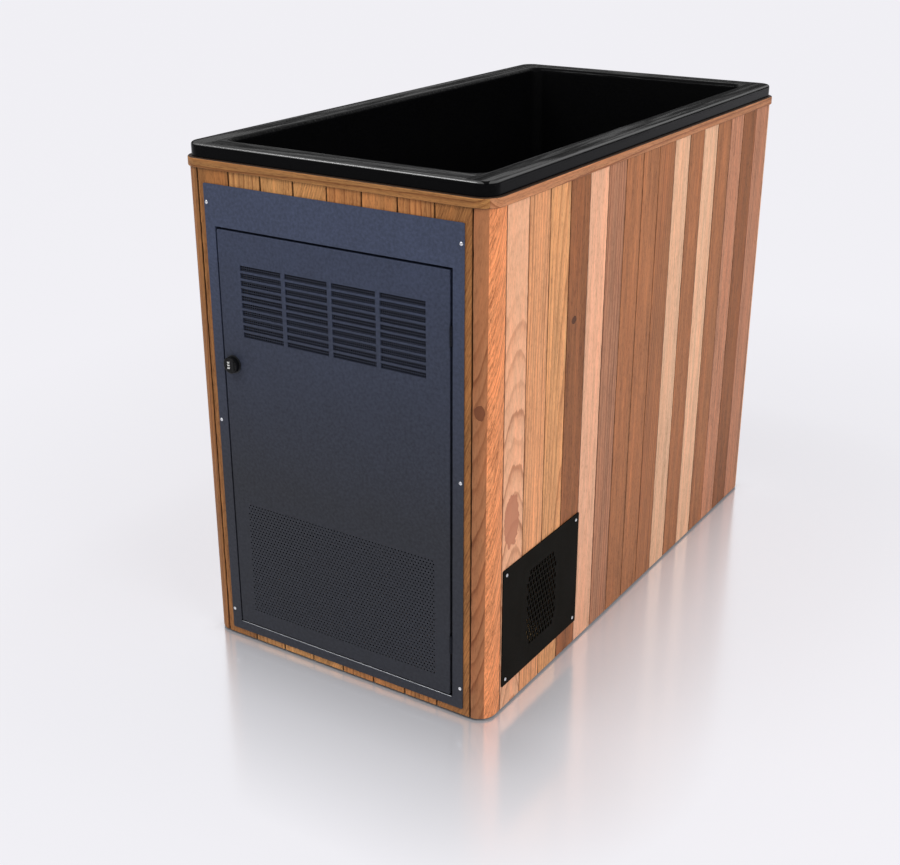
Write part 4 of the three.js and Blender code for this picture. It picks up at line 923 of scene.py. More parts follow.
class Workshop:
    """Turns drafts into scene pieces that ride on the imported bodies."""

    def __init__(self) -> None:
        """Find how far the tub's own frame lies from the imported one."""
        self.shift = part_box("trim_rear")[1].y / MM - BACK_Y - TRIM_REACH
        self.count = 0

    def place(
        self,
        draft: Draft,
        name: str,
        finish: Finish,
        body: str,
        stands_for: Sequence[str] = (),
        soften: float = 0.0,
        angle: float = 35.0,
        weld: float = 0.0,
        flatten: bool = False,
    ) -> bpy.types.Object:
        """Make one piece of a draft.

        Args:
            draft: Its corners and faces.
            name: The piece's name.
            finish: Its finish.
            body: The body it rides on.
            stands_for: Solids that it stands for.
            soften: Width of the rounding on its hard edges.
            angle: Edges that bend more than this stay hard, in degrees.
            weld: Corners nearer than this become one.
            flatten: True makes one face of the faces that lie in one plane.

        Returns:
            The piece.
        """
        mesh = draft.mesh(name, self.shift, MM, weld, flatten)
        mesh.materials.append(finish.material())
        mesh.shade_smooth()
        piece = linked(name, mesh)
        if soften:
            edge = piece.modifiers.new("soft_edges", "BEVEL")
            edge.width, edge.segments = soften * MM, 2
            edge.limit_method, edge.angle_limit = "ANGLE", math.radians(angle)
            edge.harden_normals = False
            edge.miter_outer = "MITER_ARC"
        mesh.set_sharp_from_angle(angle=math.radians(angle))
        flat = piece.modifiers.new("flat_faces", "WEIGHTED_NORMAL")
        flat.keep_sharp = True
        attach(piece, body)
        if stands_for:
            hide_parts(*stands_for)
        self.count += 1
        LOG.info("%s on %s, %d faces", name, body, len(mesh.polygons))
        return piece

    def take(self, node: str) -> Draft:
        """Copy a solid's corners and faces.

        Args:
            node: The solid's name.

        Returns:
            A draft of it.
        """
        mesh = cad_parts[node].data
        corners = [(v.co.x / MM, v.co.y / MM - self.shift, v.co.z / MM) for v in mesh.vertices]
        return Draft(corners, [tuple(p.vertices) for p in mesh.polygons])

    def refine(self, node: str, finish: Finish, body: str, soften: float) -> bpy.types.Object:
        """Put a copy of a solid with softened edges in its place."""
        copy = self.take(node)
        return self.place(copy, f"{node}_refined", finish, body, [node], soften, weld=0.01, flatten=True)

    def dress(self, node: str, finish: Finish) -> None:
        """Give a solid that is shown as it is its finish.

        Args:
            node: The solid's name.
            finish: Its finish.
        """
        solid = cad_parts[node]
        for place in solid.material_slots:
            place.material = finish.material()
        self.count += 1
        LOG.info("%s dressed in %s", node, finish.name)


# Tones and sawing of the boards


class Wood(Enum):
    """Tone of one board."""

    ORANGE = painted(219, 144, 96)
    PEACH = painted(226, 172, 136)
    TAN = painted(216, 157, 112)
    GOLD = painted(215, 158, 108)
    BROWN = painted(142, 91, 57)
    PINK = painted(226, 174, 142)
    GREY_BROWN = painted(172, 123, 94)
    RED_BROWN = painted(160, 107, 71)
    PALE = painted(228, 183, 149)
    ROSE_BROWN = painted(186, 132, 102)
    HONEY = painted(195, 143, 88)
    AMBER = painted(184, 127, 75)
    CARAMEL = painted(161, 110, 62)
    CHESTNUT = painted(170, 114, 76)
    OAK = painted(174, 122, 86)
    DARK_OAK = painted(160, 114, 66)


WHOLE = 9000.0  # higher than any board, for a figure that no plain top ends


class Sawn(Enum):
    """How a board was sawn: heart across, its depth, slant, taper, rings, fibre, ring spacing, plain top."""

    ARCHED = (5.0, 110.0, 0.004, 0.15, 0.9, 0.25, 7.5, 860.0)
    FLAMED = (30.0, 50.0, 0.004, 0.05, 0.8, 0.45, 8.0, WHOLE)
    STRIPED = (150.0, 60.0, 0.02, 0.02, 1.0, 0.45, 9.0, WHOLE)
    SLANTED = (150.0, 40.0, 0.36, 0.01, 0.65, 0.6, 6.0, WHOLE)
    PLAIN = (230.0, 90.0, 0.012, 0.004, 0.3, 0.6, 6.0, WHOLE)
    SMOOTH = (230.0, 90.0, 0.012, 0.004, 0.3, 0.35, 6.0, WHOLE)


@dataclass(frozen=True)
class Knot:
    """A patch on a board where a branch grew."""

    across: float
    up: float
    half_width: float
    half_height: float
    depth: float = 0.1

    def place(self, across: float, up: float) -> Point:
        """How far a spot lies from the middle, 1 at the edge, and the patch's depth of colour."""
        return ((across - self.across) / self.half_width, (up - self.up) / self.half_height, self.depth)


NO_KNOT = Knot(0.0, -WHOLE, 1.0, 1.0)


@dataclass(frozen=True)
class Board:
    """One board's tone and sawing, with its own place in the tree and how far it strays from its kind."""

    wood: Wood
    sawn: Sawn
    seed: int
    knot: Knot
    heart_spread: Flat = (0.8, 1.3)
    depth_spread: Flat = (0.85, 1.2)
    taper_spread: Flat = (0.8, 1.15)
    tone_spread: Flat = (0.96, 1.04)
    taper_foot: float = 260.0
    plain_fade: float = 100.0
    plain_rings: float = 0.15

    def mark(self, draft: Draft, middle: float, spots: Sequence[Point], shades: Sequence[float]) -> None:
        """Keep the board's tone, figure, knot and place in the tree on its corners.

        Args:
            draft: The draft that holds the corners.
            middle: Middle of the board across the wall.
            spots: The corners as (across, out, up).
            shades: How much of its tone each corner keeps; below 1 is painted shade in a joint or cut.
        """
        heart, deep, slant, taper, rings, fibre, spacing, plain = self.sawn.value
        chance = random.Random(self.seed)
        heart *= chance.choice((-1.0, 1.0)) * chance.uniform(*self.heart_spread)
        deep *= chance.uniform(*self.depth_spread)
        taper *= chance.uniform(*self.taper_spread)
        start = chance.uniform(0.0, WHOLE)
        light = chance.uniform(*self.tone_spread)
        for (across, out, up), shade in zip(spots, shades):
            draft.tones.append((*(level * light * shade for level in self.wood.value), 1.0))
            clear = min(1.0, max(self.plain_rings, (plain - up) / self.plain_fade))
            draft.figures.append((rings * clear, fibre, spacing))
            draft.knots.append(self.knot.place(across, up))
            beside = across - middle + heart - slant * up
            draft.places.append((beside, out + deep + taper * (up - self.taper_foot), up + start))


@dataclass(frozen=True)
class Opening:
    """A rectangular opening in a wall of boards."""

    low: Flat
    high: Flat


class Facing(Enum):
    """Which way a wall faces."""

    FRONT = "front"
    REAR = "rear"
    LEFT = "left"
    RIGHT = "right"

    def lay(self, across: float, out: float, up: float) -> Point:
        """Turn a spot on the wall into a corner.

        Args:
            across: Along the wall, as the frame's X or Y.
            out: Out of the boards' face.
            up: Height.

        Returns:
            The corner.
        """
        if self is Facing.FRONT:
            return (across, -BACK_Y - out, up)
        if self is Facing.REAR:
            return (across, BACK_Y + out, up)
        return (SIDE_X + out if self is Facing.RIGHT else -SIDE_X - out, across, up)


FRONT_BOARDS = (
    (Wood.CARAMEL, Sawn.STRIPED), (Wood.CARAMEL, Sawn.PLAIN), (Wood.HONEY, Sawn.STRIPED),
    (Wood.HONEY, Sawn.PLAIN), (Wood.HONEY, Sawn.SLANTED), (Wood.AMBER, Sawn.STRIPED),
    (Wood.AMBER, Sawn.PLAIN), (Wood.AMBER, Sawn.STRIPED), (Wood.CARAMEL, Sawn.SLANTED),
    (Wood.CHESTNUT, Sawn.ARCHED),
)
RIGHT_BOARDS = (
    (Wood.ORANGE, Sawn.SLANTED), (Wood.PEACH, Sawn.ARCHED), (Wood.TAN, Sawn.STRIPED),
    (Wood.GOLD, Sawn.FLAMED), (Wood.BROWN, Sawn.PLAIN), (Wood.PINK, Sawn.SMOOTH),
    (Wood.GREY_BROWN, Sawn.STRIPED), (Wood.RED_BROWN, Sawn.PLAIN), (Wood.RED_BROWN, Sawn.PLAIN),
    (Wood.RED_BROWN, Sawn.STRIPED), (Wood.PALE, Sawn.SMOOTH), (Wood.RED_BROWN, Sawn.PLAIN),
    (Wood.PALE, Sawn.SMOOTH), (Wood.RED_BROWN, Sawn.PLAIN), (Wood.ROSE_BROWN, Sawn.PLAIN),
    (Wood.BROWN, Sawn.PLAIN), (Wood.ROSE_BROWN, Sawn.STRIPED), (Wood.PINK, Sawn.PLAIN),
)


@dataclass
class Cladding:
    """Four walls of upright boards with rounded corner boards."""

    finish: BoardFinish
    cover: float = 76.0
    front_boards: int = 8
    side_boards: int = 16
    end_board: float = 52.0
    ease: float = 1.1
    front_ease: float = 1.3
    joint: float = 0.06
    groove: float = 1.0
    groove_depth: float = 7.0
    # Share of the tone kept on the walls of joints and cuts: painted shade in the grooves and openings.
    joint_shade: float = 0.22
    wear: Flat = (0.55, 1.45)
    cut_ease: float = 0.05
    cut_levels: Flat = (-0.2, -0.1)
    airway: Opening = Opening((-513.0, 78.0), (-379.0, 286.0))
    passage: float = 24.3
    step: float = 13.0
    arc_steps: int = 10
    seed: int = 31
    knots: Mapping[tuple[Facing, int], Knot] = field(
        default_factory=lambda: {
            (Facing.RIGHT, 1): Knot(-566.0, 402.0, 27.0, 55.0),
            (Facing.RIGHT, 4): Knot(-345.0, 731.0, 9.0, 8.0, 0.75),
            (Facing.FRONT, 9): Knot(318.0, 640.0, 9.0, 15.0, 0.4),
        }
    )

    def build(self, shop: Workshop) -> None:
        """Make the four walls.

        Args:
            shop: Where the pieces are made.
        """
        chance = random.Random(self.seed)
        rear = [chance.choice(RIGHT_BOARDS) for _ in FRONT_BOARDS]
        left = [chance.choice(RIGHT_BOARDS) for _ in RIGHT_BOARDS]
        ends = [-SIDE_X + CORNER_RADIUS + i * self.cover for i in range(self.front_boards + 1)]
        sides = [-BACK_Y + self.end_board + i * self.cover for i in range(self.side_boards + 1)]
        edge = SHEET + FIT
        doorway = Opening((-DOORWAY_X - edge, DOORWAY_FOOT - edge), (DOORWAY_X + edge, DOORWAY_TOP + edge))
        bore = self.passage
        passages = [
            Opening((y - bore, z - bore), (y + bore, z + bore)) for y, z in (FEED_PORT, RETURN_PORT)
        ]
        walls = (
            (Facing.FRONT, SIDE_X, ends, FRONT_BOARDS, [doorway]),
            (Facing.REAR, SIDE_X, ends, rear, []),
            (Facing.LEFT, BACK_Y, sides, left, passages),
            (Facing.RIGHT, BACK_Y, sides, RIGHT_BOARDS, [self.airway]),
        )
        for facing, half, joints, boards, openings in walls:
            draft = Draft()
            limits = list(zip([-half, *joints], [*joints, half]))
            for i, ((low, high), (tone, sawing)) in enumerate(zip(limits, boards)):
                board = Board(tone, sawing, chance.randrange(9999), self.knots.get((facing, i), NO_KNOT))
                self.board(draft, facing, half, low, high, board, openings)
            name = f"cladding_{facing.value}"
            shop.place(draft, f"{name}_boards", self.finish, "cabinet", [name], angle=30.0)

    def board(
        self,
        draft: Draft,
        facing: Facing,
        half: float,
        low: float,
        high: float,
        board: Board,
        openings: Sequence[Opening],
    ) -> None:
        """Add one board, in lengths that leave the openings free.

        Args:
            draft: The wall's draft.
            facing: Which way the wall faces.
            half: Half the wall's length.
            low: Joint at its low side.
            high: Joint at its high side.
            board: Tone and sawing.
            openings: The wall's openings.
        """
        chance = random.Random(board.seed)
        lengths = [(low, high, BOARD_FOOT, BOARD_TOP)]
        for hole in openings:
            left, right = max(low, hole.low[0]), min(high, hole.high[0])
            if left >= right:
                continue
            foot, top = hole.low[1], hole.high[1]
            lengths = [
                part
                for a, b, c, d in lengths
                for part in (
                    [(a, b, c, foot), (a, b, top, d), (a, left, foot, top), (right, b, foot, top)]
                    if c <= foot and top <= d
                    else [(a, b, c, d)]
                )
                if part[1] - part[0] > 1.0
            ]
        for a, b, foot, top in lengths:
            count = max(2, round((top - foot) / self.step))
            rings, shades = [], []
            for i in range(count + 1):
                up = foot + (top - foot) * i / count
                section = self.section(facing, half, a, b, low, high, chance)
                rings.append([(across, out, up) for across, out, _ in section])
                shades += [shade for _, _, shade in section]
            draft.loft([[facing.lay(*spot) for spot in ring] for ring in rings])
            board.mark(draft, (low + high) / 2, [spot for ring in rings for spot in ring], shades)

    def section(
        self, facing: Facing, half: float, a: float, b: float, low: float, high: float, chance: random.Random
    ) -> list[Point]:
        """One cross-section of a board, with randomly worn eased edges, painted shade on the walls of its
        joints and cuts, and a round at a corner.

        Args:
            facing: Which way the wall faces.
            half: Half the wall's length.
            a: Low side of this length.
            b: High side of this length.
            low: Joint at the board's low side.
            high: Joint at its high side.
            chance: Source of the edges' wear.

        Returns:
            Corners as (across, out, share of tone kept), a share below 1 being painted shade.
        """
        ease = self.front_ease if facing is Facing.FRONT else self.ease
        sides = []
        for end, joint, sign in ((a, low, 1.0), (b, high, -1.0)):
            if abs(joint) == half:
                sides.append([(*spot, 1.0) for spot in self.corner(half, sign, ease * 2)])
                continue
            cut = end != joint
            worn = self.cut_ease if cut else ease * chance.uniform(*self.wear)
            face = end + sign * self.joint
            edge = face if cut else end + sign * self.groove
            under, deep = self.cut_levels if cut else (-self.groove_depth, -worn)
            sunk = [(face, -BOARD_THICK), (face, under - self.cut_ease), (edge, under), (edge, deep)]
            # The sunk walls of a joint or cut keep joint_shade of the tone: painted shade.
            sides.append([*((*spot, self.joint_shade) for spot in sunk), (edge + sign * worn, 0.0, 1.0)])
        return sides[0] + sides[1][::-1]

    def corner(self, half: float, sign: float, gap: float) -> list[Flat]:
        """The round at a wall's end, up to the mitre.

        Args:
            half: Half the wall's length.
            sign: 1 at the low end, -1 at the high end.
            gap: How much of the round the next joint's eased edge takes.

        Returns:
            Corners from the inside to the face.
        """
        kerf, mitre = self.joint, 0.75 * math.pi
        corners = [(-half + BOARD_THICK + kerf, -BOARD_THICK)]
        last = math.acos(-gap / CORNER_RADIUS) if half == SIDE_X else math.pi / 2
        for i in range(self.arc_steps + 1):
            angle = mitre + (last - mitre) * i / self.arc_steps
            across = -half + CORNER_RADIUS + CORNER_RADIUS * math.cos(angle)
            corners.append((across + kerf * (1 - i / self.arc_steps), CORNER_RADIUS * (math.sin(angle) - 1)))
        return [(across * sign, out) for across, out in corners]


@dataclass
class Trim:
    """Mitred cap moulding on top of the boards."""

    finish: BoardFinish
    foot: float = 1002.0
    top: float = 1020.0
    width: float = 45.0
    round_top: float = 3.0
    round_foot: float = 1.5
    kerf: float = 0.22
    roll: float = 0.4
    seed: int = 7
    arc_steps: int = 12

    def build(self, shop: Workshop) -> None:
        """Make the four lengths.

        Args:
            shop: Where the pieces are made.
        """
        tones = (Wood.DARK_OAK, Wood.OAK, Wood.OAK, Wood.OAK)
        for facing, tone in zip(Facing, tones):
            half = SIDE_X if facing in (Facing.FRONT, Facing.REAR) else BACK_Y
            rings = [self.loop(half, inset, z) for inset, z in self.levels()]
            draft = Draft().loft([[facing.lay(*spot) for spot in ring] for ring in rings])
            spots = [spot for ring in rings for spot in ring]
            along = [(out + self.roll * (z - self.foot), z - self.foot, across) for across, out, z in spots]
            board = Board(tone, Sawn.STRIPED, self.seed + len(facing.value), NO_KNOT)
            board.mark(draft, 0.0, along, [1.0] * len(along))
            name = f"trim_{facing.value}"
            shop.place(draft, f"{name}_moulding", self.finish, "cabinet", [name])

    def levels(self) -> list[Flat]:
        """Find how far in the outer face is at each height, from the foot to the top.

        Returns:
            Pairs of inset and height.
        """
        low = [(inset, self.foot + up) for inset, up in quarter(self.round_foot, 3)]
        high = [(inset, self.top - up) for inset, up in reversed(quarter(self.round_top, 6))]
        return low + high

    def loop(self, half: float, inset: float, z: float) -> list[Point]:
        """One level of a length: its outer face with rounded ends, then its inner face.

        Args:
            half: Half the length of the wall below.
            inset: How far in the outer face is.
            z: Height.

        Returns:
            Corners as (across, out, up).
        """
        radius = CORNER_RADIUS + TRIM_REACH - inset
        spots = []
        for i in range(self.arc_steps + 1):
            angle = math.pi / 4 * (1 - i / self.arc_steps) + math.pi / 2
            spots.append((radius * math.cos(angle), radius * math.sin(angle)))
        end = half - CORNER_RADIUS - self.kerf
        outer = [(x - end, y - CORNER_RADIUS, z) for x, y in spots]
        outer += [(end - x, y - CORNER_RADIUS, z) for x, y in reversed(spots)]
        inside = TRIM_REACH - self.width
        span = half + inside - self.kerf
        return [*outer, (span, inside, z), (-span, inside, z)]


@dataclass
class Basin:
    """Black moulded shell with a rim, a seat over the equipment and a footwell behind it."""

    finish: BasinFinish
    fitting_finish: CoatFinish
    foam_finish: FoamFinish
    rim_foot: float = 1020.3
    rim_top: float = 1046.0
    rim_x: float = 336.0
    rim_y: float = 648.0
    rim_corner: float = 32.0
    rim_wall: float = 6.0
    rim_round: float = 10.0
    rim_edge: float = 6.0
    open_x: float = 280.0
    open_y: float = 592.0
    wall: float = 8.0
    lean: float = math.tan(math.radians(3))
    corner: float = 26.0
    fillet: float = 20.0
    seat: float = 560.0
    riser: float = -190.0
    nose: float = 18.0
    floor: float = 130.0
    fittings: tuple[tuple[str, float, float], ...] = (
        ("suction_fitting", SUCTION_X, LOW_FITTING_Z),
        ("return_fitting", RETURN_X, RETURN_PORT[1]),
        ("drain_fitting", DRAIN_X, LOW_FITTING_Z),
    )
    pipe: float = 20.0
    overrun: float = 5.0
    corner_steps: int = 16
    round_steps: int = 8

    def ring(self, half_x: float, half_y: float, radius: float, z: float, middle: float = 0.0) -> list[Point]:
        """A level ring with rounded corners about the middle of its length."""
        loop = rounded_loop((-half_x, middle - half_y), (half_x, middle + half_y), radius, self.corner_steps)
        return [(x, y, z) for x, y in loop]

    def upper(self, z: float, out: float) -> list[Point]:
        """A ring of the upper shell, moved out from its inside face."""
        move = out - (self.rim_top - z) * self.lean
        return self.ring(self.open_x + move, self.open_y + move, max(self.corner + out, self.rim_round), z)

    def well(self, z: float, out: float, nose: float = 0.0) -> list[Point]:
        """A ring of the footwell, moved out from its inside face.

        Args:
            z: Height.
            out: How far it is moved out.
            nose: How far its front is moved forward of the riser.

        Returns:
            The ring's corners.
        """
        move = out - (self.rim_top - z) * self.lean
        near, far = self.riser - out - nose, self.open_y + move
        radius = max(self.corner + out, self.rim_round)
        return self.ring(self.open_x + move, (far - near) / 2, radius, z, (far + near) / 2)

    def shell(self) -> Draft:
        """The whole shell.

        Returns:
            Its draft.
        """
        outer = self.fillet + self.wall
        seat_foot, well_foot = self.seat - self.wall, self.floor - self.wall
        outer_steps = quarter(outer, self.round_steps)
        inner_steps = quarter(self.fillet, self.round_steps)
        edge = quarter(self.rim_round, self.round_steps)[::-1]
        brow = quarter(self.rim_edge, self.round_steps)[::-1]
        nose = quarter(self.nose, self.round_steps)[::-1]
        upper_outside = Draft().loft(
            [self.upper(seat_foot + up, self.wall - inset) for inset, up in outer_steps]
            + [self.upper(self.rim_top - self.rim_wall / 2, self.wall)]
        )
        well_outside = Draft().loft(
            [self.well(well_foot + up, self.wall - inset) for inset, up in outer_steps]
            + [self.well(seat_foot + outer, self.wall)]
        )
        rim = Draft().loft(
            [self.ring(self.rim_x, self.rim_y, self.rim_corner, self.rim_foot)]
            + [
                self.ring(self.rim_x - inset, self.rim_y - inset, self.rim_corner - inset, self.rim_top - up)
                for inset, up in brow
            ]
        )
        inner_x, inner_y = self.rim_x - self.rim_wall, self.rim_y - self.rim_wall
        channel = Draft().loft(
            [
                self.ring(inner_x, inner_y, self.rim_corner - self.rim_wall, z)
                for z in (self.rim_foot - self.overrun, self.rim_top - self.rim_wall)
            ]
        )
        upper_inside = Draft().loft(
            [self.upper(self.seat + up, -inset) for inset, up in inner_steps]
            + [self.upper(self.rim_top - up, inset) for inset, up in edge]
            + [self.upper(self.rim_top + self.overrun, self.rim_round)]
        )
        well_inside = Draft().loft(
            [self.well(self.floor + up, -inset) for inset, up in inner_steps]
            + [self.well(self.seat - up, 0.0, inset) for inset, up in nose]
            + [self.well(self.seat + self.fillet, 0.0, self.nose)]
        )
        bore = [(self.pipe + FIT, -2 * self.wall), (self.pipe + FIT, self.wall)]
        passages = [Draft().turn(bore, (x, self.riser, z), Axis.Y) for _, x, z in self.fittings]
        body = rim.with_others(Joint.CUT, channel).with_others(Joint.UNION, upper_outside, well_outside)
        return body.with_others(Joint.CUT, upper_inside, well_inside, *passages)

    def fitting(self, x: float, z: float) -> Draft:
        """A slotted dome in the riser with a pipe tail behind it.

        Args:
            x: Its middle.
            z: Its height.

        Returns:
            Its draft.
        """
        profile = [
            (self.pipe, -self.wall - 40.0), (self.pipe, FIT), (37.2, FIT), (38.0, 1.1), (38.0, 2.6),
            (36.5, 3.8), (30.0, 5.6), (20.0, 7.0), (8.0, 7.3),
        ]
        dome = Draft().turn(profile, (x, self.riser, z), Axis.Y)
        half, rise, near, far = 19.0, 2.5, self.riser + 3.3, self.riser + 12.0
        slots = [
            Draft().block((x - half, near, middle - rise), (x + half, far, middle + rise))
            for middle in (z - 14.0, z, z + 14.0)
        ]
        return dome.with_others(Joint.CUT, *slots)

    def build(self, shop: Workshop) -> None:
        """Make the shell, its wall fittings and the foam under it.

        Args:
            shop: Where the pieces are made.
        """
        shop.place(self.shell(), "basin_shell", self.finish, "cabinet", ["basin"], angle=40.0)
        for name, x, z in self.fittings:
            shop.place(self.fitting(x, z), f"{name}_dome", self.fitting_finish, "cabinet", [name], soften=0.4)
        shop.dress("floor_insulation", self.foam_finish)


@dataclass
class Screws:
    """Pan-head screws with a cross recess."""

    finish: MetalFinish
    radius: float = 3.4
    height: float = 1.5

    def head(self) -> Draft:
        """One head, standing on the XY plane at the origin.

        Returns:
            Its draft.
        """
        r, h = self.radius, self.height
        profile = [(r, 0.0), (r, 0.3 * h), (0.86 * r, 0.68 * h), (0.6 * r, 0.92 * h), (0.2 * r, h)]
        arm, half = 0.52 * r, 0.11 * r
        floor = 0.45 * h
        cuts = [
            Draft().block((-arm, -half, floor), (arm, half, h + 1.0)),
            Draft().block((-half, -arm, floor), (half, arm, h + 1.0)),
        ]
        return Draft().turn(profile, (0.0, 0.0, 0.0), Axis.Z, 28).with_others(Joint.CUT, *cuts)

    def build(self, shop: Workshop, name: str, body: str, spots: Sequence[Flat], lay: Lay) -> None:
        """Set one head at each spot.

        Args:
            shop: Where the pieces are made.
            name: The piece's name.
            body: The body it rides on.
            spots: Middles of the heads, (across, up).
            lay: Turns (across, proud, up) into a corner.
        """
        head = self.head()
        draft = Draft()
        for turn, (across, up) in enumerate(spots):
            angle = 0.6 * turn
            cos, sin = math.cos(angle), math.sin(angle)
            corners = [lay(across + x * cos - y * sin, z, up + x * sin + y * cos) for x, y, z in head.corners]
            draft.add(corners, head.faces)
        shop.place(draft, name, self.finish, body)


@dataclass
class ServicePanel:
    """Slate-grey sheet with a doorway, held by six screws."""

    finish: CoatFinish
    edge_glint_finish: MetalFinish
    screws: Screws
    screw_x: float = 283.0
    screw_heights: tuple[float, ...] = (939.0, 498.0, 64.0)

    def build(self, shop: Workshop) -> None:
        """Make the panel, the painted highlight strip at its doorway, and its screws.

        Args:
            shop: Where the pieces are made.
        """
        node = "service_panel"
        shop.place(shop.take(node), f"{node}_sheet", self.finish, "cabinet", [node], soften=0.5, weld=0.01)
        # A thin bare-steel strip along the doorway's foot: a painted highlight for the light the sheet's cut
        # edge catches there.
        low = (-DOORWAY_X + SHEET, SHEET_FRONT + 0.1, DOORWAY_FOOT - FIT)
        high = (DOORWAY_X - SHEET, SHEET_BACK, DOORWAY_FOOT + 0.9)
        edge_glint_strip = Draft().block(low, high)
        shop.place(edge_glint_strip, "doorway_edge_glint", self.edge_glint_finish, "cabinet", soften=0.25)
        spots = [(x, z) for x in (-self.screw_x, self.screw_x) for z in self.screw_heights]
        self.screws.build(
            shop, "panel_screws", "cabinet", spots, lambda x, proud, z: (x, SHEET_FRONT - proud, z)
        )


@dataclass
class ServiceDoor:
    """Flush pan door with louvres above and round holes below."""

    finish: CoatFinish
    screen_finish: CoatFinish
    hinge_finish: MetalFinish
    left: float = -263.0
    right: float = 260.0
    foot: float = 42.0
    top: float = 890.0
    corner: float = 3.0
    depth: float = 14.0
    bend: float = 1.5
    louvre_columns: int = 4
    louvre_rows: int = 10
    louvre_width: float = 98.0
    louvre_bridge: float = 9.5
    louvre_height: float = 10.3
    louvre_bar: float = 4.4
    louvre_top: float = 827.0
    hole_pitch: float = 7.6
    hole_radius: float = 1.75
    hole_steps: int = 8
    holes_x: float = 231.0
    holes_foot: float = 76.0
    holes_top: float = 331.0
    screen_lap: float = 8.0
    screen_pitch: float = 4.6
    screen_hole: float = 3.0
    screen_sheet: float = 1.2
    lock_hole: float = 9.5

    def outline(self, inset: float) -> list[Flat]:
        """The door's outline, moved in by an inset."""
        low, high = (self.left + inset, self.foot + inset), (self.right - inset, self.top - inset)
        return rounded_loop(low, high, max(self.corner - inset, 0.6), 5)

    def louvre_field(self) -> Flat:
        """Half the width and the whole height of the field of louvres."""
        across = self.louvre_columns * (self.louvre_width + self.louvre_bridge) - self.louvre_bridge
        return across / 2, self.louvre_rows * (self.louvre_height + self.louvre_bar) - self.louvre_bar

    def louvres(self) -> list[list[Flat]]:
        """Outlines of the louvre slots.

        Returns:
            One loop per slot.
        """
        step_x = self.louvre_width + self.louvre_bridge
        step_z = self.louvre_height + self.louvre_bar
        start = -self.louvre_field()[0]
        return [
            rounded_loop((x, z - self.louvre_height), (x + self.louvre_width, z), 0.6, 2)
            for x in (start + i * step_x for i in range(self.louvre_columns))
            for z in (self.louvre_top - i * step_z for i in range(self.louvre_rows))
        ]

    def holes(self) -> list[list[Flat]]:
        """Outlines of the round holes, set in staggered rows.

        Returns:
            One loop per hole.
        """
        rise = self.hole_pitch * math.sin(math.pi / 3)
        rows = int((self.holes_top - self.holes_foot) / rise)
        count = int(2 * self.holes_x / self.hole_pitch)
        loops = []
        for row in range(rows):
            odd = row % 2
            for i in range(count - odd):
                x = (i - (count - 1 - odd) / 2) * self.hole_pitch
                z = self.holes_foot + (row + 0.5) * rise
                loops.append(round_loop(x, z, self.hole_radius, self.hole_steps))
        return loops

    def pan(self) -> Draft:
        """The bent sheet with its louvres, its holes and the lock's hole.

        Returns:
            Its draft.
        """
        back = SHEET_FRONT + self.depth
        levels = [(SHEET, SHEET_FRONT)]
        levels += [(inset, SHEET_FRONT + up) for inset, up in quarter(self.bend, 4)]
        levels += [(0.0, back), (SHEET, back), (SHEET, SHEET_BACK)]
        edges = Draft().loft([[(x, y, z) for x, z in self.outline(inset)] for inset, y in levels], Ends.OPEN)
        holes = [*self.louvres(), *self.holes(), round_loop(LOCK_X, LOCK_Z, self.lock_hole, 32)]
        return edges.plate(self.outline(SHEET), holes, on_front, -SHEET - FIT, -FIT, edged=False)

    def screen(self) -> Draft:
        """The mesh behind the louvres.

        Returns:
            Its draft.
        """
        half, rise = self.louvre_field()
        half += self.screen_lap
        low, high = self.louvre_top - rise - self.screen_lap, self.louvre_top + self.screen_lap
        across = int(2 * half / self.screen_pitch) - 1
        up = int((high - low) / self.screen_pitch) - 1
        side = self.screen_hole / 2
        holes = []
        for i in range(across):
            for j in range(up):
                x = (i - (across - 1) / 2) * self.screen_pitch
                z = (low + high) / 2 + (j - (up - 1) / 2) * self.screen_pitch
                holes.append(square_loop((x - side, z - side), (x + side, z + side)))
        outline = square_loop((-half, low), (half, high))
        return Draft().plate(outline, holes, on_front, 0.0, self.screen_sheet)

    def build(self, shop: Workshop) -> None:
        """Make the door, its screen and its hinges.

        Args:
            shop: Where the pieces are made.
        """
        shop.place(self.pan(), "service_door_pan", self.finish, "door", ["service_door"], weld=0.01)
        shop.place(self.screen(), "louvre_screen_mesh", self.screen_finish, "door", ["louvre_screen"])
        for place in ("upper", "lower"):
            shop.refine(f"hinge_{place}_frame_leaf", self.hinge_finish, "cabinet", 0.15)
            shop.refine(f"hinge_{place}_door_leaf", self.hinge_finish, "door", 0.15)
            shop.refine(f"hinge_{place}_pin", self.hinge_finish, "cabinet", 0.2)


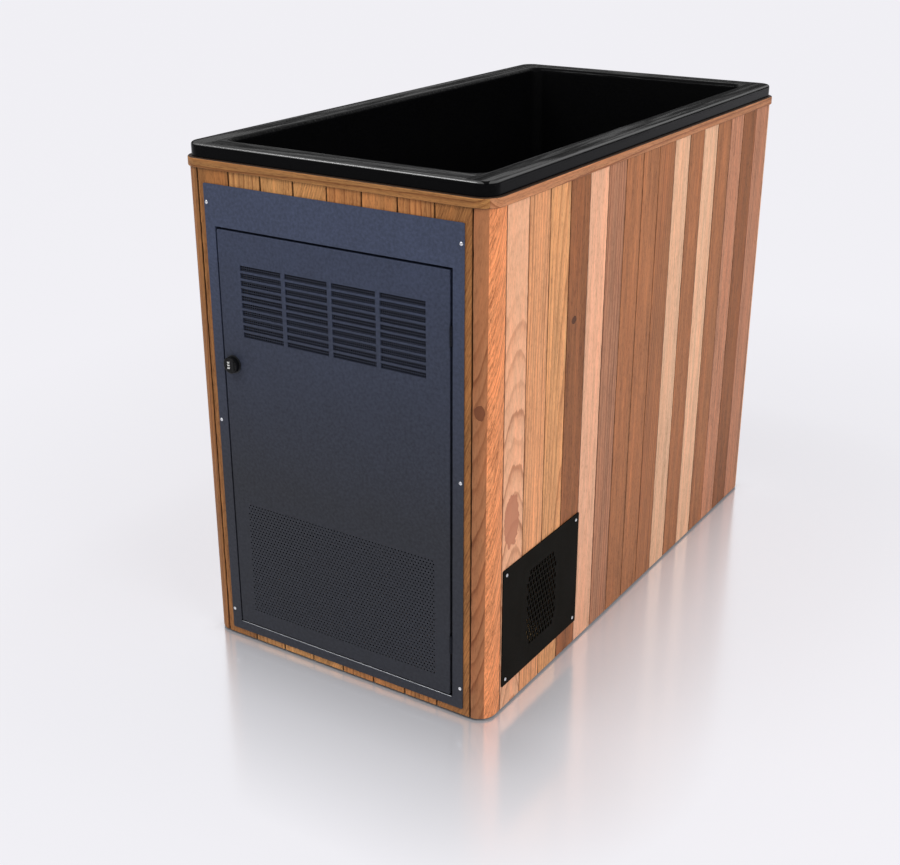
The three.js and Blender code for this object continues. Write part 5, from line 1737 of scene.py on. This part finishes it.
@dataclass
class CombinationLock:
    """Round black cam lock with three number dials."""

    finish: CoatFinish
    ring_finish: CoatFinish
    dial_finish: CoatFinish
    steel: MetalFinish
    flange_front: float = -657.1
    barrel: float = 9.2
    barrel_end: float = -635.7
    bore: float = 4.3
    knob_front: float = -665.9
    knob_depth: float = 8.5
    spindle: float = 4.0
    spindle_end: float = -632.4
    dial_x: float = LOCK_X - 4.5
    dial_y: float = -662.9
    dial_pitch: float = 5.6
    dial_marks: int = 10
    dial_steps: int = 40
    steps: int = 72

    def build(self, shop: Workshop) -> None:
        """Make the lock's body, knob, dials, nut and cam.

        Args:
            shop: Where the pieces are made.
        """
        front, back = self.flange_front, SHEET_FRONT - FIT
        body = [
            (self.bore, front), (17.2, front), (18.2, front + 0.4), (18.5, front + 1.2), (18.5, back),
            (self.barrel, back), (self.barrel, self.barrel_end), (self.bore, self.barrel_end),
        ]
        draft = Draft().turn(body, (LOCK_X, 0.0, LOCK_Z), Axis.Y, self.steps, Ends.LOOPED)
        shop.place(draft, "lock_body_ring", self.ring_finish, "door", ["lock_body"])
        shop.refine("lock_nut", self.steel, "door", 0.4)
        shop.refine("lock_cam", self.steel, "lock_turner", 0.4)
        shop.place(self.knob(), "lock_knob_turned", self.finish, "lock_turner", ["lock_knob"], soften=0.35)
        for step, place in enumerate(("lower", "middle", "upper")):
            self.dial(shop, place, (step - 1) * self.dial_pitch)

    def knob(self) -> Draft:
        """The knob with its grip ridge, dial window and spindle.

        Returns:
            Its draft.
        """
        x, z, front = LOCK_X, LOCK_Z, self.knob_front
        back = front + self.knob_depth
        profile = [
            (12.8, front), (13.4, front + 0.5), (14.2, front + 0.5), (14.8, front), (15.4, front),
            (16.5, front + 0.6), (17.0, front + 1.8), (17.0, back), (self.spindle, back),
            (self.spindle, self.spindle_end),
        ]
        ridge = rounded_loop((x + 5.5, z - 10.0), (x + 10.5, z + 10.0), 2.4, 6)
        crown = rounded_loop((x + 6.3, z - 9.2), (x + 9.7, z + 9.2), 1.6, 6)
        levels = ((crown, front - 0.98), (ridge, front - 0.6), (ridge, front + 2.0))
        grip = Draft().loft([[(a, y, b) for a, b in loop] for loop, y in levels])
        window, high = 4.3, 8.4
        slot = Draft().block(
            (self.dial_x - window, front - 5.0, z - high),
            (self.dial_x + window, self.dial_y + window, z + high),
        )
        axle = Draft().turn([(1.0, -8.9), (1.0, 8.9)], (self.dial_x, self.dial_y, z), Axis.Z, 16)
        body = Draft().turn(profile, (x, 0.0, z), Axis.Y, self.steps).with_others(Joint.UNION, grip)
        return body.with_others(Joint.CUT, slot).with_others(Joint.UNION, axle)

    def dial(self, shop: Workshop, place: str, up: float) -> None:
        """Make one black dial with a white band and dark dividing marks on it.

        Args:
            shop: Where the pieces are made.
            place: Which dial it is.
            up: Its height above the lock's middle.
        """
        x, y, z = self.dial_x, self.dial_y, LOCK_Z + up
        name, body = f"lock_dial_{place}", f"dial_{place}"
        drum = [(1.3, -2.65), (3.3, -2.65), (3.7, -2.2), (3.7, 2.2), (3.3, 2.65), (1.3, 2.65)]
        band = [(3.6, -1.7), (3.9, -1.7), (3.98, -1.5), (3.98, 1.5), (3.9, 1.7), (3.6, 1.7)]
        lots = (("drum", drum, self.finish, [name]), ("band", band, self.dial_finish, []))
        for label, profile, finish, stands_for in lots:
            draft = Draft().turn(profile, (x, y, z), Axis.Z, self.dial_steps, Ends.LOOPED)
            shop.place(draft, f"{name}_{label}", finish, body, stands_for)
        marks = Draft()
        for i in range(self.dial_marks):
            angle = 2 * math.pi * (i + 0.5) / self.dial_marks - math.pi / 2
            mark = square_loop((angle - 0.06, -1.4), (angle + 0.06, 1.4))
            marks.loft(
                [
                    [(x + radius * math.cos(a), y + radius * math.sin(a), z + rise) for a, rise in mark]
                    for radius in (3.9, 4.0)
                ]
            )
        shop.place(marks, f"{name}_marks", self.finish, body)


@dataclass
class VentPlate:
    """Black plate with upright slots inside a barrel-shaped window."""

    finish: CoatFinish
    screws: Screws
    low: Flat = (-597.0, 55.0)
    high: Flat = (-295.0, 309.0)
    corner: float = 3.0
    half_width: float = 60.0
    straight: float = 71.0
    cap: float = 23.0
    slot: Flat = (6.6, 10.4)
    slot_corner: float = 1.2
    pitch: Flat = (11.0, 13.0)
    screw_inset: float = 13.0

    def lay(self, across: float, out: float, up: float) -> Point:
        """A spot on the plate: along the wall, out of its back, up."""
        return (SIDE_X + FIT + out, across, up)

    def slots(self) -> list[list[Flat]]:
        """Outlines of the slots.

        Returns:
            One loop per slot.
        """
        middle = ((self.low[0] + self.high[0]) / 2, (self.low[1] + self.high[1]) / 2)
        half_y, half_z = self.slot[0] / 2, self.slot[1] / 2
        across = int(self.half_width / self.pitch[0]) + 1
        rows = int((self.straight + self.cap) / self.pitch[1]) + 1
        loops = []
        for row in range(-rows, rows + 1):
            stagger = self.pitch[0] / 2 * (row % 2)
            for column in range(-across, across + 1):
                y, z = column * self.pitch[0] + stagger, row * self.pitch[1]
                share = min(1.0, abs(y) / self.half_width)
                limit = self.straight + self.cap * math.sqrt(1 - share * share)
                if abs(y) + half_y <= self.half_width and abs(z) + half_z <= limit:
                    low = (middle[0] + y - half_y, middle[1] + z - half_z)
                    high = (middle[0] + y + half_y, middle[1] + z + half_z)
                    loops.append(rounded_loop(low, high, self.slot_corner, 3))
        return loops

    def build(self, shop: Workshop) -> None:
        """Make the plate and its screws.

        Args:
            shop: Where the pieces are made.
        """
        outline = rounded_loop(self.low, self.high, self.corner, 6)
        plate = Draft().plate(outline, self.slots(), self.lay, 0.0, SHEET)
        shop.place(plate, "side_vent_grille", self.finish, "cabinet", ["side_vent_plate"], soften=0.35)
        edge = self.screw_inset
        spots = [
            (y, z)
            for y in (self.low[0] + edge, self.high[0] - edge)
            for z in (self.low[1] + edge, self.high[1] - edge)
        ]
        self.screws.build(
            shop, "vent_screws", "cabinet", spots, lambda y, proud, z: self.lay(y, SHEET + proud, z)
        )


@dataclass
class TimberFrame:
    """Bearers, deck, posts, rails and seat ledgers."""

    lengthwise: TimberFinish
    crosswise: TimberFinish
    upright: TimberFinish
    sheet: TimberFinish
    ease: float = 1.6

    def build(self, shop: Workshop) -> None:
        """Make every timber with eased edges.

        Args:
            shop: Where the pieces are made.
        """
        sides = ("left", "right")
        lengths = [f"{name}_{side}" for name in ("base_bearer", "top_rail", "seat_ledger") for side in sides]
        posts = [f"post_{end}_{side}" for end in ("front", "rear") for side in sides]
        lots = (
            (lengths, self.lengthwise),
            (["top_rail_front", "top_rail_rear"], self.crosswise),
            (posts, self.upright),
            (["base_deck"], self.sheet),
        )
        for nodes, finish in lots:
            for node in nodes:
                shop.refine(node, finish, "cabinet", self.ease)


@dataclass
class Pump:
    """Finned motor with a wet end."""

    motor_finish: CoatFinish
    casing_finish: CoatFinish
    steel: MetalFinish
    start: float = 100.7
    length: float = 170.0
    radius: float = 58.0
    fin: float = 6.0
    fins: int = 26
    cap: float = 32.0
    axis_height: float = 72.0
    casing_back: float = 100.4
    casing_front: float = 30.4
    volute: float = 68.0
    spigot: float = 24.0
    collar: float = 28.0
    shaft_hole: float = 6.3

    def motor(self) -> Draft:
        """The motor: fins, end cap, foot and terminal box.

        Returns:
            Its draft.
        """
        y, z = EQUIPMENT_Y, PUMP_Z
        loop = []
        for i in range(4 * self.fins):
            angle = 2 * math.pi * (i + 0.5) / (4 * self.fins)
            reach = self.radius if i % 4 < 2 else self.radius - self.fin
            loop.append((y + reach * math.cos(angle), z + reach * math.sin(angle)))
        barrel_end = self.start + self.length - self.cap
        barrel = Draft().loft([[(x, a, b) for a, b in loop] for x in (self.start, barrel_end + 0.5)])
        rounds = [(self.radius - inset, self.length - up) for inset, up in reversed(quarter(10.0, 6))]
        profile = [(self.radius, self.length - self.cap), *rounds]
        cover = Draft().turn(profile, (self.start, y, z), Axis.X, 64)
        middle = self.start + (self.length - self.cap) / 2
        floor = z - self.axis_height
        foot = Draft().block((middle - 55.0, y - 60.0, floor), (middle + 55.0, y + 60.0, floor + 6.0))
        web = Draft().block((middle - 49.0, y - 23.0, floor + 5.5), (middle + 49.0, y + 23.0, z))
        top = z + self.radius + 24.0
        terminal = Draft().block((middle - 33.0, y - 27.0, z), (middle + 33.0, y + 27.0, top))
        hole = [(self.shaft_hole, -5.0), (self.shaft_hole, 60.0)]
        bore = Draft().turn(hole, (self.start, y, z), Axis.X, 24)
        return barrel.with_others(Joint.UNION, cover, foot, web, terminal).with_others(Joint.CUT, bore)

    def casing(self) -> Draft:
        """The wet end with its inlet and outlet spigots.

        Returns:
            Its draft.
        """
        front = self.casing_front - self.casing_back
        rounds = [(self.volute - inset, front + up) for inset, up in quarter(12.0, 6)]
        profile = [
            (self.spigot - 1.5, front - 25.0), (self.spigot, front - 23.5), (self.spigot, front), *rounds,
            (self.volute, -17.0), (self.volute - 3.0, -14.0), (60.0, -14.0), (60.0, 0.0),
        ]
        middle = (self.casing_back, EQUIPMENT_Y, PUMP_Z)
        body = Draft().turn(profile, middle, Axis.X, 64)
        base = (OUTLET_X, EQUIPMENT_Y, PUMP_Z)
        spigot = [(self.spigot, 0.0), (self.spigot, 98.5), (self.spigot - 1.5, 100.0)]
        outlet = Draft().turn(spigot, base, Axis.Z, 40)
        collar = Draft().turn([(self.collar, 78.0), (self.collar, 87.0)], base, Axis.Z, 40)
        chamber = Draft().turn([(45.0, -38.0), (45.0, -14.0)], middle, Axis.X, 40)
        seal = Draft().turn([(self.shaft_hole, -20.0), (self.shaft_hole, 5.0)], middle, Axis.X, 24)
        return body.with_others(Joint.UNION, outlet, collar).with_others(Joint.CUT, chamber, seal)

    def build(self, shop: Workshop) -> None:
        """Make the motor and the wet end, and dress the rotor.

        Args:
            shop: Where the pieces are made.
        """
        lots = (
            (self.motor(), "pump_motor_finned", self.motor_finish, "pump_motor"),
            (self.casing(), "pump_casing", self.casing_finish, "pump_housing"),
        )
        for draft, name, finish, node in lots:
            shop.place(draft, name, finish, "cabinet", [node], soften=0.6)
        shop.dress("pump_rotor", self.steel)


@dataclass
class Filter:
    """Filter head on a bracket, with a bowl that unscrews below it."""

    head_finish: CoatFinish
    bowl_finish: CoatFinish
    pleat_finish: CoatFinish
    steel: MetalFinish
    x: float = -169.7
    head_foot: float = 454.1
    head_height: float = 52.0
    head_radius: float = 70.0
    bowl_foot: float = 191.8
    bowl_length: float = 262.0
    bowl_radius: float = 62.0
    bowl_wall: float = 4.0
    collar: float = 67.0
    collar_height: float = 28.0
    grips: int = 20
    pleats: int = 54
    pleat_reach: Flat = (43.0, 51.8)
    pleat_span: Flat = (20.4, 246.0)
    steps: int = 72

    def head(self) -> Draft:
        """The head with its two side ports.

        Returns:
            Its draft.
        """
        radius, height = self.head_radius, self.head_height
        rounds = [(radius - inset, height - up) for inset, up in reversed(quarter(18.0, 8))]
        profile = [(radius - 1.5, 0.0), (radius, 1.5), *rounds]
        head = Draft().turn(profile, (self.x, EQUIPMENT_Y, self.head_foot), Axis.Z, self.steps)
        port = (self.x, EQUIPMENT_Y, self.head_foot + height / 2)
        ports = Draft().turn([(22.5, -82.0), (24.0, -80.5), (24.0, 80.5), (22.5, 82.0)], port, Axis.X, 40)
        return head.with_others(Joint.UNION, ports)

    def bowl(self) -> Draft:
        """The bowl with grip ribs round its collar.

        Returns:
            Its draft.
        """
        radius, length, wall = self.bowl_radius, self.bowl_length, self.bowl_wall
        under = length - self.collar_height
        outside = [(radius - inset, up) for inset, up in quarter(18.0, 8)]
        inside = [(radius - wall - inset, wall + up) for inset, up in reversed(quarter(14.0, 8))]
        collar = [(radius, under - 4.0), (self.collar, under), (self.collar, length)]
        profile = [*outside, *collar, (radius - wall, length), *inside]
        cup = Draft().turn(profile, (self.x, EQUIPMENT_Y, self.bowl_foot), Axis.Z, self.steps)
        rib = [(3.0, under + 2.0), (4.2, under + 5.0), (4.2, length)]
        spots = round_loop(self.x, EQUIPMENT_Y, self.collar, self.grips)
        ribs = [Draft().turn(rib, (x, y, self.bowl_foot), Axis.Z, 12) for x, y in spots]
        return cup.with_others(Joint.UNION, *ribs)

    def cartridge(self) -> Draft:
        """The pleated cartridge between its end caps.

        Returns:
            Its draft.
        """
        x, y, z = base = (self.x, EQUIPMENT_Y, self.bowl_foot)
        folds = [(math.pi * i / self.pleats, self.pleat_reach[i % 2]) for i in range(2 * self.pleats)]
        rings = [
            [(x + reach * math.cos(angle), y + reach * math.sin(angle), z + up) for angle, reach in folds]
            for up in self.pleat_span
        ]
        ends = [
            Draft().turn([(38.0, low), (40.0, low + 2.0), (40.0, high - 2.0), (38.0, high)], base, Axis.Z)
            for low, high in ((4.4, 22.0), (244.0, 262.0))
        ]
        core = Draft().turn([(14.0, 0.0), (14.0, 270.0)], base, Axis.Z, 32)
        return Draft().loft(rings).with_others(Joint.UNION, *ends).with_others(Joint.CUT, core)

    def build(self, shop: Workshop) -> None:
        """Make the bracket, the head, the bowl and the cartridge.

        Args:
            shop: Where the pieces are made.
        """
        shop.refine("filter_bracket", self.steel, "cabinet", 0.8)
        shop.place(self.head(), "filter_head_cast", self.head_finish, "cabinet", ["filter_head"], soften=0.5)
        shop.place(self.bowl(), "filter_bowl_ribbed", self.bowl_finish, "bowl", ["filter_bowl"], soften=0.4)
        node = "filter_cartridge"
        shop.place(self.cartridge(), f"{node}_pleated", self.pleat_finish, "bowl", [node], angle=20.0)


@dataclass
class Plumbing:
    """Pipes, wall ports and the drain."""

    pipe_finish: CoatFinish
    port_finish: CoatFinish
    steel: MetalFinish
    lever_finish: CoatFinish
    radius: float = 20.0
    bend: float = 34.0
    ball: Flat = (26.0, -44.0)

    def build(self, shop: Workshop) -> None:
        """Make the pipes, the ports, the drain valve and its lever.

        Args:
            shop: Where the pieces are made.
        """
        y, tail, low = EQUIPMENT_Y, FITTING_TAIL_Y, LOW_FITTING_Z
        back, high = RETURN_PORT
        feed = FEED_PORT[1]
        runs = {
            "suction_pipe": (
                (SUCTION_X, tail, low), (SUCTION_X, y, low), (SUCTION_X, y, PUMP_Z), (5.1, y, PUMP_Z),
            ),
            "pump_outlet_pipe": ((OUTLET_X, y, 230.9), (OUTLET_X, y, feed), (-87.4, y, feed)),
            "return_pipe": ((-298.4, back, high), (RETURN_X, back, high), (RETURN_X, tail, high)),
        }
        for name, path in runs.items():
            draft = Draft().tube(path, self.radius, self.bend)
            shop.place(draft, f"{name}_run", self.pipe_finish, "cabinet", [name])
        self.port(shop, "feed_port", *FEED_PORT, -252.0)
        self.port(shop, "return_port", *RETURN_PORT, -298.7)
        self.drain(shop)

    def port(self, shop: Workshop, name: str, y: float, z: float, tail: float) -> None:
        """Make one wall port with a threaded socket.

        Args:
            shop: Where the pieces are made.
            name: The port's solid.
            y: Its place along the wall.
            z: Its height.
            tail: Where its tail ends inside.
        """
        outside = -SIDE_X - FIT
        face = outside - 3.2
        floor = face + 24.0
        thread = [(17.0 + (0.9 if i % 2 else 0.0), face + 21.0 - 1.6 * i) for i in range(13)]
        profile = [
            (8.0, floor), (17.0, floor), *thread, (18.2, face), (35.0, face), (36.0, face + 1.0),
            (36.0, outside), (24.0, outside), (24.0, tail), (8.0, tail),
        ]
        draft = Draft().turn(profile, (0.0, y, z), Axis.X, 64)
        shop.place(draft, f"{name}_turned", self.port_finish, "cabinet", [name])

    def drain(self, shop: Workshop) -> None:
        """Make the drain valve and its lever.

        Args:
            shop: Where the pieces are made.
        """
        x, y, z = DRAIN_X, FITTING_TAIL_Y, LOW_FITTING_Z
        ball, centre = self.ball
        angles = (-0.85, -0.6, -0.3, 0.0, 0.3, 0.6)
        profile = [(12.5, -88.0), (14.0, -86.5), (14.0, -72.0), (16.0, -70.0)]
        profile += [(ball * math.cos(a), centre + ball * math.sin(a)) for a in angles]
        profile += [(22.0, -24.0), (22.0, -4.0), (20.0, -2.0), (20.0, 0.0)]
        stem = Draft().turn([(7.0, 0.0), (7.0, 36.0), (6.0, 38.0)], (x, y + centre, z), Axis.Z, 24)
        body = Draft().turn(profile, (x, y, z), Axis.Y).with_others(Joint.UNION, stem)
        shop.place(body, "drain_valve_body", self.steel, "cabinet", ["drain_valve"], soften=0.4)
        shop.refine("drain_lever", self.lever_finish, "drain_handle", 1.6)


@dataclass
class Controls:
    """Control box with a screwed lid and a cable gland."""

    box_finish: CoatFinish
    gland_finish: CoatFinish
    screws: Screws
    screw_inset: float = 11.0

    def build(self, shop: Workshop) -> None:
        """Make the box, its lid, its screws and the gland.

        Args:
            shop: Where the pieces are made.
        """
        shop.refine("control_box", self.box_finish, "cabinet", 1.2)
        shop.refine("control_lid", self.box_finish, "cabinet", 1.2)
        shop.refine("mains_gland", self.gland_finish, "cabinet", 0.6)
        low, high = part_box("control_lid")
        edge = self.screw_inset
        spots = [
            (y / MM - shop.shift + a, z / MM + b)
            for y, a in ((low.y, edge), (high.y, -edge))
            for z, b in ((low.z, edge), (high.z, -edge))
        ]
        self.screws.build(
            shop, "lid_screws", "cabinet", spots, lambda y, proud, z: (low.x / MM - proud, y, z)
        )


@dataclass
class Studio:
    """Pale floor, soft lamps and a camera at the photograph's angle."""

    camera_at: Point = (1455.0, -2517.0, 1520.0)
    heading: Point = (-0.4978, 0.7763, -0.3866)
    lens: float = 54.0
    floor_tone: Colour = painted(244, 243, 248)
    low_sky: float = 0.07
    high_sky: float = 0.6
    floor_show: Flat = (0.93, 0.52)
    floor_gloss: float = 0.55
    floor_dim: float = 0.92
    floor_half: float = 40.0
    floor_reach: float = 2000.0
    mirror_roughness: float = 0.16
    sensor: float = 36.0
    look_at: Point = (0.0, 0.0, 0.55)

    def build(self, shop: Workshop) -> None:
        """Set up the floor, the light and the camera.

        Args:
            shop: Knows how far the tub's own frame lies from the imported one.
        """
        self.floor()
        self.world()
        key = self.lamp("key", (3.3, -1.1, 2.5), 70.0, (2.2, 2.2))
        key.visible_glossy = False
        self.lamp("fill", (-1.25, -1.9, 2.9), 25.0, (1.6, 0.5))
        self.camera(shop.shift)

    def floor(self) -> None:
        """Lay a large pale floor that keeps the shadow and a reflection near the tub."""
        size = self.floor_half
        mesh = bpy.data.meshes.new("floor")
        outline = square_loop((-size, -size), (size, size))
        mesh.from_pydata([(x, y, 0.0) for x, y in outline], [], [(0, 1, 2, 3)])
        material = bpy.data.materials.new("pale_floor")
        material.use_nodes = True
        wiring = Wiring(material.node_tree)
        place = wiring.place()
        cloud = wiring.noise(place, (900.0, 900.0, 900.0), 2.0)
        colour = wiring.dim(self.floor_tone, wiring.spread(cloud, 0.99, 1.01))
        rays = wiring.put("ShaderNodeLightPath").outputs
        shown = wiring.dim(colour, wiring.spread(rays["Is Camera Ray"], 1.0, self.floor_dim))
        lit = wiring.put("ShaderNodeBsdfDiffuse", {"Color": shown}).outputs[0]
        beyond = wiring.vector("SUBTRACT", wiring.vector("ABSOLUTE", place), (SIDE_X, BACK_Y, 0.0))
        reach = wiring.vector("LENGTH", wiring.vector("MAXIMUM", beyond, (0.0, 0.0, 0.0)))
        away = wiring.calc("DIVIDE", reach, self.floor_reach)
        near = wiring.ramp(away, ((0.0, 1.0), (0.06, 0.85), (0.3, 0.3), (0.8, 0.0)))
        contact = wiring.ramp(away, ((0.0, 0.1), (0.003, 0.7), (0.02, 1.0)))
        show = wiring.calc("MULTIPLY", wiring.spread(near, *self.floor_show), contact)
        seen = wiring.calc("MAXIMUM", rays["Is Camera Ray"], rays["Is Glossy Ray"])
        seen = wiring.calc("MAXIMUM", seen, rays["Is Transmission Ray"])
        plain = wiring.put("ShaderNodeEmission", {"Color": self.floor_tone, "Strength": 1.0}).outputs[0]
        pale = wiring.either(wiring.calc("MULTIPLY", seen, show), lit, plain)
        feeds = {"Color": colour, "Roughness": self.mirror_roughness}
        mirror = wiring.put("ShaderNodeBsdfGlossy", feeds).outputs[0]
        share = wiring.ramp(away, ((0.0, 1.0), (0.08, 0.55), (0.22, 0.0)))
        share = wiring.calc("MULTIPLY", share, self.floor_gloss)
        mixed = wiring.either(share, pale, mirror)
        wiring.feed(material.node_tree.nodes["Material Output"].inputs["Surface"], mixed)
        mesh.materials.append(material)
        floor = linked("floor", mesh)

    def world(self) -> None:
        """Light the scene evenly from all round, and show a pale backdrop."""
        world = bpy.data.worlds.new("studio")
        bpy.context.scene.world = world
        world.use_nodes = True
        wiring = Wiring(world.node_tree)
        heading = wiring.put("ShaderNodeTexCoord").outputs["Generated"]
        rise = wiring.axes(heading)[2]
        climb = ((0.0, self.low_sky), (0.24, self.low_sky), (0.34, 1.0))
        rays = wiring.put("ShaderNodeLightPath").outputs
        strength = wiring.spread(rays["Is Glossy Ray"], self.high_sky, 1.0)
        light = world.node_tree.nodes["Background"]
        wiring.feed(light.inputs["Color"], wiring.ramp(rise, climb))
        wiring.feed(light.inputs["Strength"], strength)
        pale = wiring.put("ShaderNodeBackground", {"Color": self.floor_tone, "Strength": 1.0}).outputs[0]
        mixed = wiring.either(rays["Is Camera Ray"], light.outputs[0], pale)
        wiring.feed(world.node_tree.nodes["World Output"].inputs["Surface"], mixed)

    def lamp(self, name: str, spot: Point, power: float, size: Flat) -> bpy.types.Object:
        """Hang one flat lamp that looks at the tub's middle.

        Args:
            name: Its name.
            spot: Where it hangs, in metres.
            power: Its power in watts.
            size: Its width and height in metres.

        Returns:
            The lamp.
        """
        light = bpy.data.lights.new(name, "AREA")
        light.shape = "RECTANGLE"
        light.energy, light.size, light.size_y = power, *size
        lamp = linked(name, light)
        lamp.location = spot
        heading = Vector(self.look_at) - Vector(spot)
        lamp.rotation_euler = heading.to_track_quat("-Z", "Y").to_euler()
        return lamp

    def camera(self, shift: float) -> None:
        """Set the camera.

        Args:
            shift: How far the tub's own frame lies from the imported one, along Y.
        """
        data = bpy.data.cameras.new("camera")
        data.lens, data.sensor_width = self.lens, self.sensor
        camera = linked("camera", data)
        x, y, z = self.camera_at
        camera.location = Vector((x, y + shift, z)) * MM
        camera.rotation_euler = Vector(self.heading).to_track_quat("-Z", "Y").to_euler()
        bpy.context.scene.camera = camera
        bpy.context.scene.view_settings.view_transform = "Standard"


def main() -> None:
    """Build the tub's sub-assemblies in order, then the studio."""
    logging.basicConfig(level=logging.INFO, format="%(name)s: %(message)s")
    cedar = BoardFinish("sealed_cedar", "cedar", Wood.TAN.value)
    oak = BoardFinish("oiled_oak", "oak", Wood.GOLD.value, sway=7.0)
    pine = painted(222, 190, 142)
    black = painted(22, 23, 25)
    # Numbers after a coat's tone: roughness, mottling, depth of grain and, where it differs, its sheen
    panel = SheetFinish("slate_coat", "slate_steel", painted(66, 74, 96), 0.55, 0.3, 0.03, 0.25)
    # The door's coat is a darker copy of the panel's slate coat: painted shade.
    door = SheetFinish(
        "door_coat", "slate_steel", painted(62, 69, 89), 0.55, 0.3, 0.03, 0.2, shaded_foot_tone=painted(51, 53, 60)
    )
    # The mesh behind the louvres is coated darker than the door: painted shade inside the slots.
    screen = CoatFinish("mesh_coat", "slate_steel", painted(42, 46, 59), 0.55, 0.2, 0.03, 0.2)
    vent = CoatFinish("black_coat", "black_steel", painted(19, 17, 13), 0.6, 0.3, 0.04, 0.03)
    shell = BasinFinish("basin_black", "moulded_black", painted(7, 7, 8), 0.2, 0.4, 0.025, 0.04)
    moulded = CoatFinish("black_moulding", "moulded_black", black, 0.34, 0.3, 0.03)
    gloss = CoatFinish("black_gloss", "black_plastic", painted(14, 14, 15), 0.3, 0.2, 0.02, 0.15)
    dials = CoatFinish("dial_white", "pipe_white", painted(238, 238, 234), 0.3, 0.05, 0.02)
    pipes = CoatFinish("white_pipe", "pipe_white", painted(226, 226, 222), 0.35, 0.06, 0.02)
    motor = CoatFinish("pump_paint", "pump_grey", painted(92, 96, 104), 0.45, 0.2, 0.05)
    bowl = CoatFinish("filter_blue", "filter_blue", painted(40, 78, 132), 0.3, 0.12, 0.02)
    paper = CoatFinish("pleated_paper", "cartridge_white", painted(238, 236, 228), 0.8, 0.1, 0.1)
    lever = CoatFinish("lever_dip", "lever_red", painted(176, 42, 34), 0.4, 0.1, 0.03)
    box = CoatFinish("box_grey", "box_grey", painted(200, 202, 205), 0.5, 0.08, 0.05)
    steel = MetalFinish("brushed_steel", "bright_steel", painted(196, 198, 202), roughness=0.24)
    hinge = MetalFinish("dark_hinge", "black_steel", painted(34, 36, 42), roughness=0.4)
    bright = MetalFinish("bright_screw", "bright_steel", painted(232, 233, 236), roughness=0.2)
    screws = Screws(bright)
    shop = Workshop()
    parts = (
        Cladding(cedar),
        Trim(oak),
        Basin(shell, moulded, FoamFinish("foam_board", "foam", painted(226, 220, 204))),
        ServicePanel(panel, steel, screws),
        ServiceDoor(door, screen, hinge),
        CombinationLock(gloss, moulded, dials, steel),
        VentPlate(vent, screws),
        TimberFrame(
            TimberFinish("timber_lengthwise", "timber", pine, Axis.Y),
            TimberFinish("timber_crosswise", "timber", pine, Axis.X),
            TimberFinish("timber_upright", "timber", pine, Axis.Z),
            TimberFinish("ply_sheet", "ply", painted(214, 184, 138), Axis.Y),
        ),
        Pump(motor, moulded, steel),
        Filter(moulded, bowl, paper, steel),
        Plumbing(pipes, moulded, steel, lever),
        Controls(box, moulded, screws),
        Studio(),
    )
    for part in parts:
        part.build(shop)
    LOG.info("%d pieces", shop.count)


if __name__ == "__main__":
    main()
